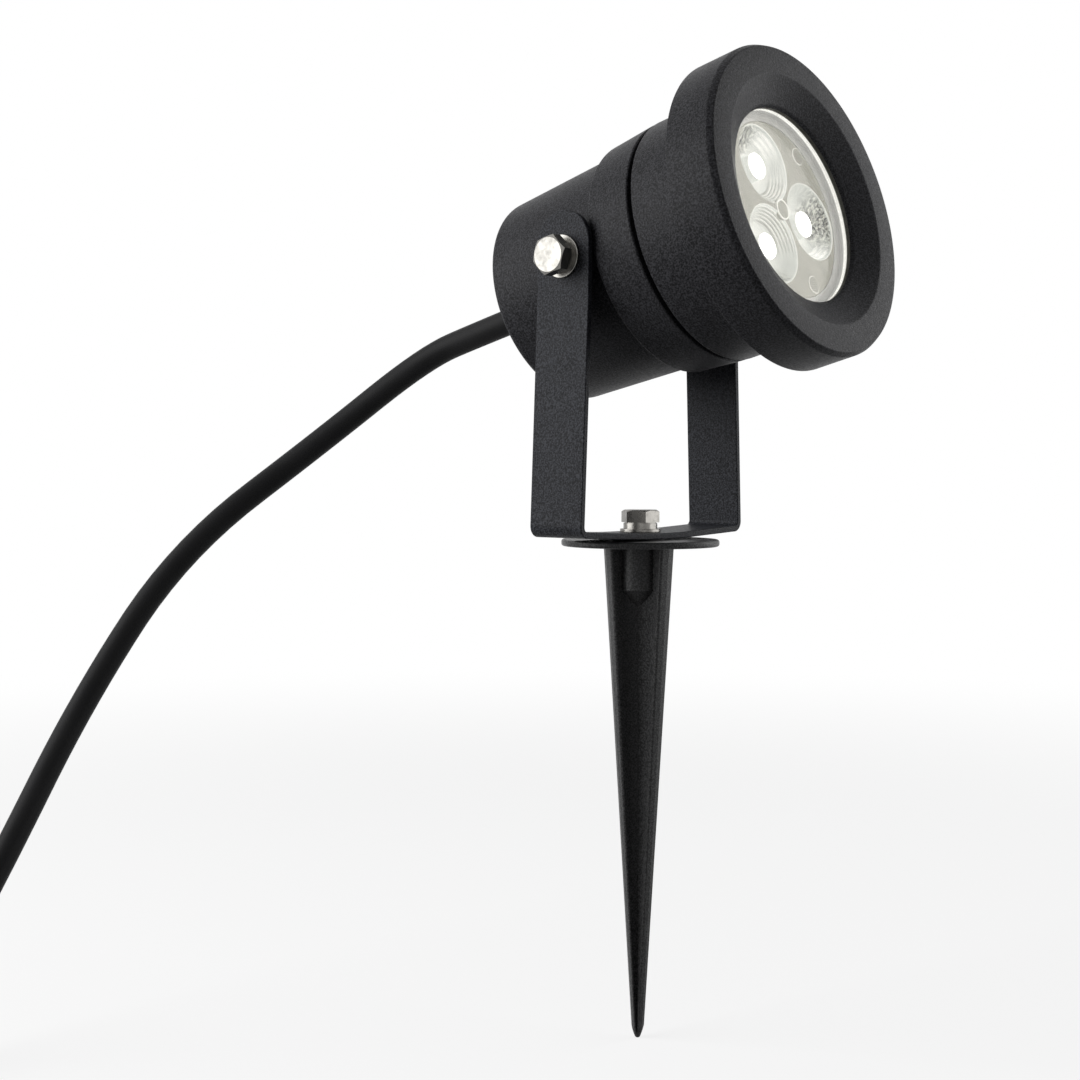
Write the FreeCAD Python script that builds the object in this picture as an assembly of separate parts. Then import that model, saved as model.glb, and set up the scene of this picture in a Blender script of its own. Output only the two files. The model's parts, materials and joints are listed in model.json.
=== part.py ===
import FreeCAD, Part

import math
import os

# Garden spike spotlight: a cast spike carries a strap bracket that pans on one upright bolt, and the
# bracket carries a die-cast lamp that tilts between its two arms. Millimetres and degrees.
# The origin is the spike's point, +Z is up along the spike and the lamp aims towards -Y.
# The lamp's own pieces are drawn on its axis: local z is the distance in front of the tilt axis,
# local x is the tilt axis and local y is the lamp's upper side.

V = FreeCAD.Vector

# How the parts stand at rest
TILT = 15.0  # the lamp's aim above the horizon
SPIKE_TURN = -2.6  # the front fin's turn about the spike's axis, from the lamp's aim

# Spike casting
SPIKE_LENGTH = 147.0  # from the point to the flange's underside
FLANGE_RADIUS = 23.3
FLANGE_THICKNESS = 2.0
FLANGE_ROUNDING = 0.7
PAD_RADIUS = 8.0
PAD_HEIGHT = 0.3
BOSS_RADIUS = 6.4
BOSS_LENGTH = 12.9
FIN_COUNT = 3
FIN_REACH = 10.6  # from the spike's axis to the fins' ends, at the flange
FIN_REACH_AT_POINT = 1.3
FIN_END_WIDTH = 6.1  # the fins widen towards their ends
FIN_END_WIDTH_AT_POINT = 2.6
FIN_ROOT = 1.5  # from the spike's axis to the crease between two fins
FIN_ROOT_AT_POINT = 1.1
FIN_HOLLOW = 0.7  # the depth of the hollow in each side of a fin
FIN_HOLLOW_AT_POINT = 0.05
FIN_ROUNDING = 0.8
FIN_ROUNDING_AT_POINT = 0.3
RIDGE = 0.25  # the parting ridge along the fins' ends
POINT_LENGTH = 8.0  # the bullet-shaped end
POINT_ROUNDING = 0.9
POINT_ROUNDING_HEIGHT = 0.68
POINT_SWELL = (0.72, 0.42)  # the shares of the end's radius and length that its side passes through
POINT_ROUNDING_SWELL = (0.66, 0.29)

# M6 bolts and washers
BOLT_RADIUS = 3.0
BOLT_HEAD_FLATS = 10.0
BOLT_HEAD_HEIGHT = 4.0
BOLT_FACE_HEIGHT = 0.3  # the round face under the head
BOLT_END_CHAMFER = 0.6
BOLT_CROWN_SHARE = 0.95  # the flat top's radius as a share of half the width across flats
BOLT_CROWN_ANGLE = 30.0
BASE_BOLT_LENGTH = 16.0
PIVOT_BOLT_LENGTH = 16.0
PLAIN_WASHER_RADIUS = 6.0
PLAIN_WASHER_THICKNESS = 1.0
SPRING_WASHER_RADIUS = 5.0
SPRING_WASHER_THICKNESS = 1.6
SPRING_WASHER_SLIT = 0.9
SPRING_WASHER_SLIT_ANGLE = 25.0
WASHER_CLEARANCE = 0.2
WASHER_ROUNDING = 0.15
THREAD_CLEARANCE = 0.05
SWIVEL_CLEARANCE = 0.08  # the bracket's holes turn on the bolts
TAPPED_DEPTH_SPARE = 1.5
PIVOT_BOLT_TURN = 45.0  # where a corner of each hexagon stands
BASE_BOLT_TURN = 52.3

# Strap bracket
STRAP_WIDTH = 18.3
STRAP_THICKNESS = 1.8
STRAP_BEND_RADIUS = 1.4  # inside the lower bends
ARM_BEND_RADIUS = 12.0
ARM_GAP_AT_PIVOT = 70.7  # between the arms
ARM_GAP_AT_PLATE = 76.5
PLATE_BOW = 1.2  # how far the plate between the arms rises towards its bends
PLATE_FLAT = 18.0  # the flat length under the bolt
PLATE_BOW_RADIUS = 150.0
PIVOT_HEIGHT = 79.5  # from the bracket's underside to the tilt axis
ARM_PARALLEL_BELOW_PIVOT = 12.0
ARM_END_ABOVE_PIVOT = 3.8  # the centre of the arms' round ends
STRAP_ROUNDING = 0.3

# Rear housing casting
REAR_OVERHANG = 32.0  # from the tilt axis back to the rear face
REAR_RADIUS = 31.0
REAR_ROUNDING = 2.0
BODY_FRONT_RADIUS = 32.55
COLLAR_START = 8.5
COLLAR_LENGTH = 14.8
COLLAR_RADIUS = 34.6
COLLAR_FRONT_RADIUS = 35.7
CASTING_ROUNDING = 0.6
HOUSING_WALL = 3.2
PIVOT_BOSS_RADIUS = 8.0
PIVOT_BOSS_INSIDE = 5.0  # how far the bosses stand into the housing
EARTH_BOSS_RADIUS = 4.0
EARTH_BOSS_HEIGHT = 7.0
EARTH_BOSS_OFFSET = 19.0
EARTH_SCREW_RADIUS = 2.0

# Front bezel casting
BODY_GASKET_THICKNESS = 1.4
BODY_GASKET_WIDTH = 1.8  # it fills the inner part of the groove between the castings
RING_LENGTH = 19.0
RING_RADIUS = 35.8
BEZEL_LENGTH = 15.0
BEZEL_RADIUS = 44.75
BEZEL_CHAMFER = (0.9, 1.6)  # inwards and along the axis
FACE_INNER_RADIUS = 36.0
FACE_CONE_DEPTH = 2.0
APERTURE_RADIUS = 27.35
LIP_LENGTH = 2.9
CHAMBER_RADIUS = 29.0
SPIGOT_RADIUS = 31.0
SPIGOT_LENGTH = 8.0
SPIGOT_CLEARANCE = 0.1

# Optical stack, from the lip backwards
INNER_CLEARANCE = 0.1
GLASS_RADIUS = 28.0
GLASS_THICKNESS = 3.0
GLASS_GASKET_LIP = 0.6
GLASS_GASKET_SHOW = 0.95  # how far the gasket stands in from the aperture's edge
OPTIC_GAP = 0.2
OPTIC_RADIUS = 25.6
OPTIC_DEPTH = 12.0
OPTIC_DISC_THICKNESS = 1.6
OPTIC_SKIRT_WALL = 1.0
CUP_COUNT = 3
CUP_TURN = -18.0
CUP_PITCH_RADIUS = 13.05
CUP_FRONT_RADIUS = 11.1
CUP_REAR_RADIUS = 4.6
CUP_WELL_RADIUS = 8.2
CUP_WELL_FLOOR_RADIUS = 3.2
CUP_WELL_DEPTH = 5.4
CUP_FOOT_GAP = 0.6
EMITTER_POCKET_RADIUS = 2.7
EMITTER_POCKET_DEPTH = 2.2
POST_RADIUS = 1.9
EMITTER_SIDE = 3.5
EMITTER_BASE = 0.8
EMITTER_DOME_RADIUS = 1.3
BOARD_RADIUS = 25.4
BOARD_THICKNESS = 1.6
PAD_THICKNESS = 0.5
HEAT_PLATE_THICKNESS = 3.0
LEAD_HOLE_RADIUS = 3.5
SLEEVE_WALL = 2.0
M3_RADIUS = 1.5
M3_HEAD_RADIUS = 2.8
M3_HEAD_HEIGHT = 1.8
M3_HEAD_ROUNDING = 1.1
M3_PITCH_RADIUS = 19.2
M3_CLEARANCE = 0.15

# Driver, behind the heat plate
STANDOFF_LENGTH = 12.0
STANDOFF_FLATS = 5.5
DRIVER_BOARD_RADIUS = 23.5
DRIVER_SCREW_LENGTH = 5.0
TRANSFORMER_SIZE = (16.0, 13.0, 11.0)
TRANSFORMER_CORE_WIDTH = 6.0
WINDING_INSET = 1.5
CAPACITOR_RADIUS = 4.0
CAPACITOR_LENGTH = 10.0
CAPACITOR_OFFSET = (14.5, 4.0)
TERMINAL_SIZE = (15.0, 8.0, 10.0)
TERMINAL_OFFSET = 14.0
TERMINAL_WAYS = 3
TERMINAL_HOLE_RADIUS = 1.3
LEAD_RADIUS = 0.9
LEAD_STRAIGHT = 6.0  # at both ends of a supply lead
LED_LEAD_SPREAD = 1.7

# Cable gland and cord
CORD_RADIUS = 4.0
CORD_CLEARANCE = 0.1
GLAND_WASHER_THICKNESS = 1.0
GLAND_FLANGE_THICKNESS = 2.6
GLAND_FLATS = 20.0
GLAND_THREAD_RADIUS = 8.0
GLAND_THREAD_LENGTH = 11.0
GLAND_BORE_RADIUS = 5.6
LOCKNUT_THICKNESS = 3.5
LOCKNUT_TURN = 30.0
BOOT_LENGTH = 14.5
BOOT_RADIUS = 8.4
BOOT_END_RADIUS = 5.0
BOOT_STUB_LENGTH = 12.0
BOOT_GROOVES = 4
BOOT_GROOVE_WIDTH = 1.4
BOOT_GROOVE_DEPTH = 0.9
CORD_INSIDE_LENGTH = 6.0  # the jacket beyond the gland's inner end

# The cord's route from the boot to the coil: a run straight out, points set by hand, a run straight in
CORD_FIRST_RUN = 14.9
CORD_LAST_RUN = 33.0
CORD_ROUTE = (
    (-2.3, 84.3, 205.1),
    (-17.6, 115.6, 178.6),
    (-57.2, 140.4, 143.2),
    (-90.0, 148.0, 97.0),
    (-122.0, 146.0, 50.0),
    (-152.0, 141.0, 14.0),
)
ARC_SHARE = 0.45  # of the shorter run beside a corner

# The put-away coil: it winds in, climbs a layer and winds out again
COIL_CENTRE = (-230.0, 89.0)
COIL_RADIUS = 49.0  # the outer turn's centreline
COIL_STEP = 8.5  # from turn to turn and from layer to layer
COIL_TURNS = 4.25
COIL_ARC_PAIRS = 18
COIL_START_ANGLE = 90.0
TIE_ANGLE = 270.0
TIE_WIDTH = 8.0
TIE_THICKNESS = 0.6
TIE_CORNER_RADIUS = 3.0
TIE_CLEARANCE = 0.1
TIE_SIDE_CLEARANCE = 0.5

# From the coil to the plug
TAIL_END_RUN = 16.0
TAIL_MIDDLE_RUN = 30.0

# Moulded plug with two round pins and side earth clips
PLUG_RADIUS = 19.5
PLUG_FRONT_LENGTH = 17.0
PLUG_GRIP_RADIUS = 13.0
PLUG_GRIP_LENGTH = 20.0
PLUG_NOSE_RADIUS = 8.0
PLUG_NOSE_END_RADIUS = 5.6
PLUG_NOSE_LENGTH = 16.0
PLUG_ROUNDING = 1.2
PIN_RADIUS = 2.4
PIN_LENGTH = 19.0
PIN_SPACING = 19.0
PIN_ROUNDING = 1.4
PIN_IN_BODY = 8.0
PIN_ROOT_RADIUS = 2.0  # the pin inside the moulding
CLIP_WIDTH = 4.0
CLIP_THICKNESS = 0.8
CLIP_LENGTH = 14.0
CLIP_NOTCH_WIDTH = 6.0
CLIP_NOTCH_DEPTH = 2.4

# Heights and stations that follow
FLANGE_TOP = SPIKE_LENGTH + FLANGE_THICKNESS
PLATE_BOTTOM = FLANGE_TOP + PAD_HEIGHT
PLATE_TOP = PLATE_BOTTOM + STRAP_THICKNESS
PIVOT_Z = PLATE_BOTTOM + PIVOT_HEIGHT
WASHER_STACK = PLAIN_WASHER_THICKNESS + SPRING_WASHER_THICKNESS
COLLAR_END = COLLAR_START + COLLAR_LENGTH
RING_START = COLLAR_END + BODY_GASKET_THICKNESS
BEZEL_START = RING_START + RING_LENGTH
FACE = BEZEL_START + BEZEL_LENGTH
LIP_BACK = FACE - FACE_CONE_DEPTH - LIP_LENGTH
SPIGOT_END = COLLAR_END - SPIGOT_LENGTH
CAVITY_RADIUS = REAR_RADIUS - HOUSING_WALL
REAR_WALL_FRONT = -REAR_OVERHANG + HOUSING_WALL
GLASS_FRONT = LIP_BACK - GLASS_GASKET_LIP
GLASS_BACK = GLASS_FRONT - GLASS_THICKNESS
GLASS_GASKET_BACK = GLASS_BACK - GLASS_GASKET_LIP
STACK_RADIUS = CHAMBER_RADIUS - INNER_CLEARANCE
OPTIC_FRONT = GLASS_BACK - OPTIC_GAP
BOARD_FRONT = OPTIC_FRONT - OPTIC_DEPTH
BOARD_BACK = BOARD_FRONT - BOARD_THICKNESS
PLATE_FRONT = BOARD_BACK - PAD_THICKNESS
PLATE_BACK = PLATE_FRONT - HEAT_PLATE_THICKNESS
DRIVER_FRONT = PLATE_BACK - STANDOFF_LENGTH
DRIVER_BACK = DRIVER_FRONT - BOARD_THICKNESS
GLAND_FACE = -REAR_OVERHANG - GLAND_WASHER_THICKNESS
BOOT_START = GLAND_FACE - GLAND_FLANGE_THICKNESS
BOOT_END = BOOT_START - BOOT_LENGTH
GLAND_INNER_END = GLAND_FACE + GLAND_THREAD_LENGTH
CORD_INNER_END = GLAND_INNER_END + CORD_INSIDE_LENGTH
COIL_LIFT = CORD_RADIUS + TIE_THICKNESS + TIE_CLEARANCE  # the lowest turn's centreline
SCREW_TURN = CUP_TURN + 180.0 / CUP_COUNT  # the screws stand between the cups


# ---------------------------------------------------------------- drawing


def corner_arc(before, corner, after, radius):
    """Where a tangent arc in a corner starts, passes and ends."""
    if radius <= 0:
        return corner, corner, corner
    back = (before - corner).normalize()
    on = (after - corner).normalize()
    half = back.getAngle(on) / 2
    inward = (back + on).normalize()
    start = corner + back * (radius / math.tan(half))
    end = corner + on * (radius / math.tan(half))
    middle = corner + inward * (radius / math.sin(half) - radius)
    return start, middle, end


def outline(corners, place):
    """A closed wire through (a, b, rounding) corners, where place(a, b) gives the point in space."""
    points = [place(a, b) for a, b, _ in corners]
    count = len(points)
    arcs = []
    for i, corner in enumerate(corners):
        arcs.append(corner_arc(points[i - 1], points[i], points[(i + 1) % count], corner[2]))
    edges = []
    for i in range(count):
        came_from = arcs[i - 1][2]
        start, middle, end = arcs[i]
        if came_from.distanceToPoint(start) > 1e-6:
            edges.append(Part.LineSegment(came_from, start).toShape())
        if start.distanceToPoint(end) > 1e-6:
            edges.append(Part.Arc(start, middle, end).toShape())
    return Part.Wire(edges)


def turned(corners):
    """A solid turned about z from (radius, z, rounding) corners."""
    face = Part.Face(outline(corners, lambda r, z: V(r, 0, z)))
    return face.revolve(V(0, 0, 0), V(0, 0, 1), 360)


def plain(*corners):
    """The same corners with no rounding."""
    return [(a, b, 0) for a, b in corners]


def ring(inner, outer, low, high, rounding=0.0):
    corners = [(inner, low, 0), (outer, low, rounding), (outer, high, rounding), (inner, high, 0)]
    return turned(corners)


def disc(radius, low, high):
    return Part.makeCylinder(radius, high - low, V(0, 0, low))


def hexagon(flats, low, high, turn=0.0):
    """A hexagonal prism about z with one corner at the angle turn."""
    corner_radius = flats / 2 / math.cos(math.radians(30))
    points = [polar(corner_radius, turn + 60 * k, low) for k in range(7)]
    return Part.Face(Part.makePolygon(points)).extrude(V(0, 0, high - low))


def polar(radius, angle, z=0.0):
    turn = math.radians(angle)
    return V(radius * math.cos(turn), radius * math.sin(turn), z)


def around(count, turn, radius):
    """Evenly spaced places on a circle about z."""
    return [polar(radius, turn + 360.0 / count * k) for k in range(count)]


def copies(shape, places):
    """Copies of one shape at several places, as separate solids."""
    return Part.makeCompound([shape.translated(place) for place in places])


def cut_all(shape, tools):
    return shape.cut(Part.makeCompound(tools))


def route_wire(points):
    """Straight runs joined by tangent arcs, and the arcs' radii."""
    edges = []
    radii = []
    came_from = points[0]
    for before, corner, after in zip(points, points[1:], points[2:]):
        back = before - corner
        on = after - corner
        half = back.getAngle(on) / 2
        radius = ARC_SHARE * min(back.Length, on.Length) * math.tan(half)
        start, middle, end = corner_arc(before, corner, after, radius)
        edges.append(Part.LineSegment(came_from, start).toShape())
        edges.append(Part.Arc(start, middle, end).toShape())
        radii.append(radius)
        came_from = end
    edges.append(Part.LineSegment(came_from, points[-1]).toShape())
    return Part.Wire(edges), radii


def tube(wire, radius, start, direction):
    section = Part.Wire(Part.Circle(start, direction, radius).toShape())
    return wire.makePipeShell([section], True, False)


def arc_pair(start, heading, end, final_heading):
    """Two arcs that meet smoothly, from one place and heading to another."""
    across = end - start
    both = heading + final_heading
    a = 2 * (1 - heading.dot(final_heading))
    b = across.dot(both)
    reach = (math.sqrt(b * b + a * across.dot(across)) - b) / a
    first_tip = start + heading * reach
    second_tip = end - final_heading * reach
    meeting = (first_tip + second_tip) * 0.5
    edges = []
    for low, tip, high in ((start, first_tip, meeting), (meeting, second_tip, end)):
        chord_middle = (low + high) * 0.5
        half_chord = low.distanceToPoint(high) / 2
        outward = tip - chord_middle
        rise = half_chord * math.tan(math.acos(half_chord / reach) / 2)
        middle = chord_middle + outward.normalize() * rise
        edges.append(Part.Arc(low, middle, high).toShape())
    return edges


def seat_in_lamp(shape):
    """From the lamp's own axis to its place and tilt on the bracket."""
    placed = shape.copy()
    placed.rotate(V(0, 0, 0), V(1, 0, 0), 90 - TILT)
    placed.translate(V(0, 0, PIVOT_Z))
    return placed


def seat_on_arm(shape, side, distance):
    """From upright to lying along the tilt axis, on the arm at side -1 or +1."""
    placed = shape.copy()
    placed.rotate(V(0, 0, 0), V(0, 1, 0), 90 * side)
    placed.translate(V(side * distance, 0, PIVOT_Z))
    return placed


def on_both_arms(shape, distance):
    return Part.makeCompound([seat_on_arm(shape, side, distance) for side in (-1, 1)])


# ---------------------------------------------------------------- bolts and washers


def hex_bolt(length, turn):
    """A hexagon bolt with its head on z = 0 and its shank below."""
    corner_radius = BOLT_HEAD_FLATS / 2 / math.cos(math.radians(30))
    crown_radius = BOLT_HEAD_FLATS / 2 * BOLT_CROWN_SHARE
    crown_drop = (corner_radius - crown_radius) * math.tan(math.radians(BOLT_CROWN_ANGLE))
    crown = turned(
        plain(
            (0, BOLT_FACE_HEIGHT),
            (corner_radius, BOLT_FACE_HEIGHT),
            (corner_radius, BOLT_HEAD_HEIGHT - crown_drop),
            (crown_radius, BOLT_HEAD_HEIGHT),
            (0, BOLT_HEAD_HEIGHT),
        )
    )
    head = hexagon(BOLT_HEAD_FLATS, BOLT_FACE_HEIGHT, BOLT_HEAD_HEIGHT, turn).common(crown)
    shank = turned(
        plain(
            (0, -length),
            (BOLT_RADIUS - BOLT_END_CHAMFER, -length),
            (BOLT_RADIUS, -length + BOLT_END_CHAMFER),
            (BOLT_RADIUS, 0),
            (crown_radius, 0),
            (crown_radius, BOLT_FACE_HEIGHT),
            (0, BOLT_FACE_HEIGHT),
        )
    )
    return head.fuse(shank).removeSplitter()


def plain_washer():
    bore = BOLT_RADIUS + WASHER_CLEARANCE
    return ring(bore, PLAIN_WASHER_RADIUS, 0, PLAIN_WASHER_THICKNESS, WASHER_ROUNDING)


def spring_washer():
    """A flattened split washer with its slanting slit."""
    bore = BOLT_RADIUS + WASHER_CLEARANCE
    body = ring(bore, SPRING_WASHER_RADIUS, 0, SPRING_WASHER_THICKNESS)
    slit_length = 2 * SPRING_WASHER_RADIUS
    slit_height = 3 * SPRING_WASHER_THICKNESS
    corner = V(0, -SPRING_WASHER_SLIT / 2, -slit_height / 2)
    slit = Part.makeBox(slit_length, SPRING_WASHER_SLIT, slit_height, corner)
    slit.rotate(V(0, 0, 0), V(1, 0, 0), SPRING_WASHER_SLIT_ANGLE)
    slit.translate(V(0, 0, SPRING_WASHER_THICKNESS / 2))
    return body.cut(slit)


def screw_m3(length):
    """A pan-head screw with its head on z = 0 and its shank below."""
    head = turned(
        [
            (0, 0, 0),
            (M3_HEAD_RADIUS, 0, 0),
            (M3_HEAD_RADIUS, M3_HEAD_HEIGHT, M3_HEAD_ROUNDING),
            (0, M3_HEAD_HEIGHT, 0),
        ]
    )
    return head.fuse(disc(M3_RADIUS, -length, 0)).removeSplitter()


# ---------------------------------------------------------------- spike


def fin_section(z, reach, end_width, root, hollow, rounding, ridge):
    """The star of fins at a height: each has hollow sides, a wide end and a ridge along the end."""
    half_end = end_width / 2
    half_pitch = 180 / FIN_COUNT
    rounding_middle = rounding * (1 - math.sqrt(0.5))
    in_crease = polar(root, half_pitch, z)
    side_end = V(reach - rounding, half_end, z)
    in_side = (in_crease + side_end) * 0.5 - V(0, hollow, 0)
    in_corner = V(reach - rounding_middle, half_end - rounding_middle, z)
    corner_end = V(reach, half_end - rounding, z)
    peak = V(reach + ridge, 0, z)
    edges = []
    for k in range(FIN_COUNT):

        def placed(point, mirror):
            radius = math.hypot(point.x, point.y)
            angle = math.degrees(math.atan2(point.y * mirror, point.x))
            return polar(radius, angle + k * 360 / FIN_COUNT, z)

        half_fins = []
        for mirror in (-1, 1):
            crease, side, end, corner, last, top = [
                placed(point, mirror)
                for point in (in_crease, in_side, side_end, in_corner, corner_end, peak)
            ]
            half_fins.append(
                [
                    Part.Arc(crease, side, end).toShape(),
                    Part.Arc(end, corner, last).toShape(),
                    Part.LineSegment(last, top).toShape(),
                ]
            )
        edges += half_fins[0] + half_fins[1][::-1]
    return Part.Wire(edges)


def spike():
    at_flange = fin_section(
        SPIKE_LENGTH, FIN_REACH, FIN_END_WIDTH, FIN_ROOT, FIN_HOLLOW, FIN_ROUNDING, RIDGE
    )
    at_point = fin_section(
        0,
        FIN_REACH_AT_POINT,
        FIN_END_WIDTH_AT_POINT,
        FIN_ROOT_AT_POINT,
        FIN_HOLLOW_AT_POINT,
        FIN_ROUNDING_AT_POINT,
        RIDGE / 2,
    )
    fins = Part.makeLoft([at_point, at_flange], True, True)
    share = POINT_LENGTH / SPIKE_LENGTH
    low_radius = math.hypot(FIN_REACH_AT_POINT, FIN_END_WIDTH_AT_POINT / 2) + RIDGE / 2
    high_radius = math.hypot(FIN_REACH, FIN_END_WIDTH / 2) + RIDGE
    point_radius = low_radius + share * (high_radius - low_radius)
    middle = V(point_radius * POINT_SWELL[0], 0, POINT_LENGTH * POINT_SWELL[1])
    tip_side = V(POINT_ROUNDING, 0, POINT_ROUNDING_HEIGHT)
    tip_radius_share, tip_height_share = POINT_ROUNDING_SWELL
    tip_middle = V(POINT_ROUNDING * tip_radius_share, 0, POINT_ROUNDING_HEIGHT * tip_height_share)
    shoulder = V(point_radius, 0, POINT_LENGTH)
    outer = V(high_radius, 0, SPIKE_LENGTH)
    centre_top = V(0, 0, SPIKE_LENGTH)
    bullet = Part.Wire(
        [
            Part.Arc(V(0, 0, 0), tip_middle, tip_side).toShape(),
            Part.Arc(tip_side, middle, shoulder).toShape(),
            Part.LineSegment(shoulder, outer).toShape(),
            Part.LineSegment(outer, centre_top).toShape(),
            Part.LineSegment(centre_top, V(0, 0, 0)).toShape(),
        ]
    )
    fins = fins.common(Part.Face(bullet).revolve(V(0, 0, 0), V(0, 0, 1), 360))
    fins.rotate(V(0, 0, 0), V(0, 0, 1), SPIKE_TURN - 90)
    boss_bottom = SPIKE_LENGTH - BOSS_LENGTH
    boss = turned(
        plain(
            (0, boss_bottom - BOSS_RADIUS),
            (BOSS_RADIUS, boss_bottom),
            (BOSS_RADIUS, SPIKE_LENGTH),
            (0, SPIKE_LENGTH),
        )
    )
    flange = turned(
        [
            (0, SPIKE_LENGTH, 0),
            (FLANGE_RADIUS, SPIKE_LENGTH, FLANGE_ROUNDING),
            (FLANGE_RADIUS, FLANGE_TOP, FLANGE_ROUNDING),
            (PAD_RADIUS, FLANGE_TOP, 0),
            (PAD_RADIUS, PLATE_BOTTOM, 0),
            (0, PLATE_BOTTOM, 0),
        ]
    )
    tapped_depth = BASE_BOLT_LENGTH - WASHER_STACK - STRAP_THICKNESS + TAPPED_DEPTH_SPARE
    hole = disc(BOLT_RADIUS + THREAD_CLEARANCE, PLATE_BOTTOM - tapped_depth, PLATE_BOTTOM)
    return fins.fuse([boss, flange]).cut(hole)


def base_fasteners():
    bolt = hex_bolt(BASE_BOLT_LENGTH, BASE_BOLT_TURN)
    bolt.translate(V(0, 0, PLATE_TOP + WASHER_STACK))
    flat = plain_washer().translated(V(0, 0, PLATE_TOP))
    spring = spring_washer().translated(V(0, 0, PLATE_TOP + PLAIN_WASHER_THICKNESS))
    return {"base_bolt": bolt, "base_plain_washer": flat, "base_spring_washer": spring}


# ---------------------------------------------------------------- bracket


def parallel(points, distance):
    """An open line of (x, z) points moved sideways, to the left of its direction."""
    moved = []
    normals = []
    for (x0, z0), (x1, z1) in zip(points, points[1:]):
        length = math.hypot(x1 - x0, z1 - z0)
        normals.append((-(z1 - z0) / length, (x1 - x0) / length))
    for i, (x, z) in enumerate(points):
        first = normals[max(i - 1, 0)]
        second = normals[min(i, len(normals) - 1)]
        share = distance / (1 + first[0] * second[0] + first[1] * second[1])
        moved.append((x + share * (first[0] + second[0]), z + share * (first[1] + second[1])))
    return moved


def yoke_bracket():
    """A strap bent up on both sides, with round ends and a hole at each pivot and in the plate."""
    half_top = ARM_GAP_AT_PIVOT / 2
    half_base = ARM_GAP_AT_PLATE / 2
    bend_z = PIVOT_Z - ARM_PARALLEL_BELOW_PIVOT
    end_z = PIVOT_Z + ARM_END_ABOVE_PIVOT
    top_z = end_z + STRAP_WIDTH / 2
    half = [(PLATE_FLAT / 2, PLATE_TOP), (half_base, PLATE_TOP + PLATE_BOW)]
    half += [(half_top, bend_z), (half_top, top_z)]
    inside = [(-x, z) for x, z in half[::-1]] + half
    outside = parallel(inside, -STRAP_THICKNESS)
    inner_rounding = [0, ARM_BEND_RADIUS + STRAP_THICKNESS, STRAP_BEND_RADIUS, PLATE_BOW_RADIUS]
    outer_rounding = [0, ARM_BEND_RADIUS, STRAP_BEND_RADIUS + STRAP_THICKNESS]
    outer_rounding += [PLATE_BOW_RADIUS + STRAP_THICKNESS]
    inner_rounding += inner_rounding[::-1]
    outer_rounding += outer_rounding[::-1]
    corners = [(x, z, r) for (x, z), r in zip(inside, inner_rounding)]
    corners += [(x, z, r) for (x, z), r in zip(outside, outer_rounding)][::-1]
    strap = Part.Face(outline(corners, lambda x, z: V(x, -STRAP_WIDTH / 2, z)))
    strap = strap.extrude(V(0, STRAP_WIDTH, 0))
    reach = half_base + 2 * STRAP_THICKNESS
    trim = Part.makeBox(
        2 * reach, STRAP_WIDTH, end_z - PLATE_BOTTOM, V(-reach, -STRAP_WIDTH / 2, PLATE_BOTTOM)
    )
    rounds = Part.makeCylinder(STRAP_WIDTH / 2, 2 * reach, V(-reach, 0, end_z), V(1, 0, 0))
    strap = strap.common(trim.fuse(rounds)).removeSplitter()
    hole = BOLT_RADIUS + SWIVEL_CLEARANCE
    pivot_hole = Part.makeCylinder(hole, 2 * reach, V(-reach, 0, PIVOT_Z), V(1, 0, 0))
    strap = cut_all(strap, [pivot_hole, disc(hole, PLATE_BOTTOM, PLATE_TOP)])
    limit = STRAP_WIDTH / 2 - STRAP_ROUNDING
    rim = [edge for edge in strap.Edges if edge_is_on_rim(edge, limit, end_z)]
    return strap.makeFillet(STRAP_ROUNDING, rim)


def edge_is_on_rim(edge, limit, end_z):
    """Whether an edge runs along the strap's sides or its round ends."""
    middle = edge.valueAt((edge.FirstParameter + edge.LastParameter) / 2)
    across = abs(middle.y) > limit and middle.z < end_z
    on_end = math.hypot(middle.y, middle.z - end_z) > limit and middle.z > end_z
    points = [vertex.Point for vertex in edge.Vertexes]
    runs_through = len(points) == 2 and abs(points[0].y - points[1].y) < 1e-6
    return on_end or (across and runs_through)


# ---------------------------------------------------------------- lamp castings


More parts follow.
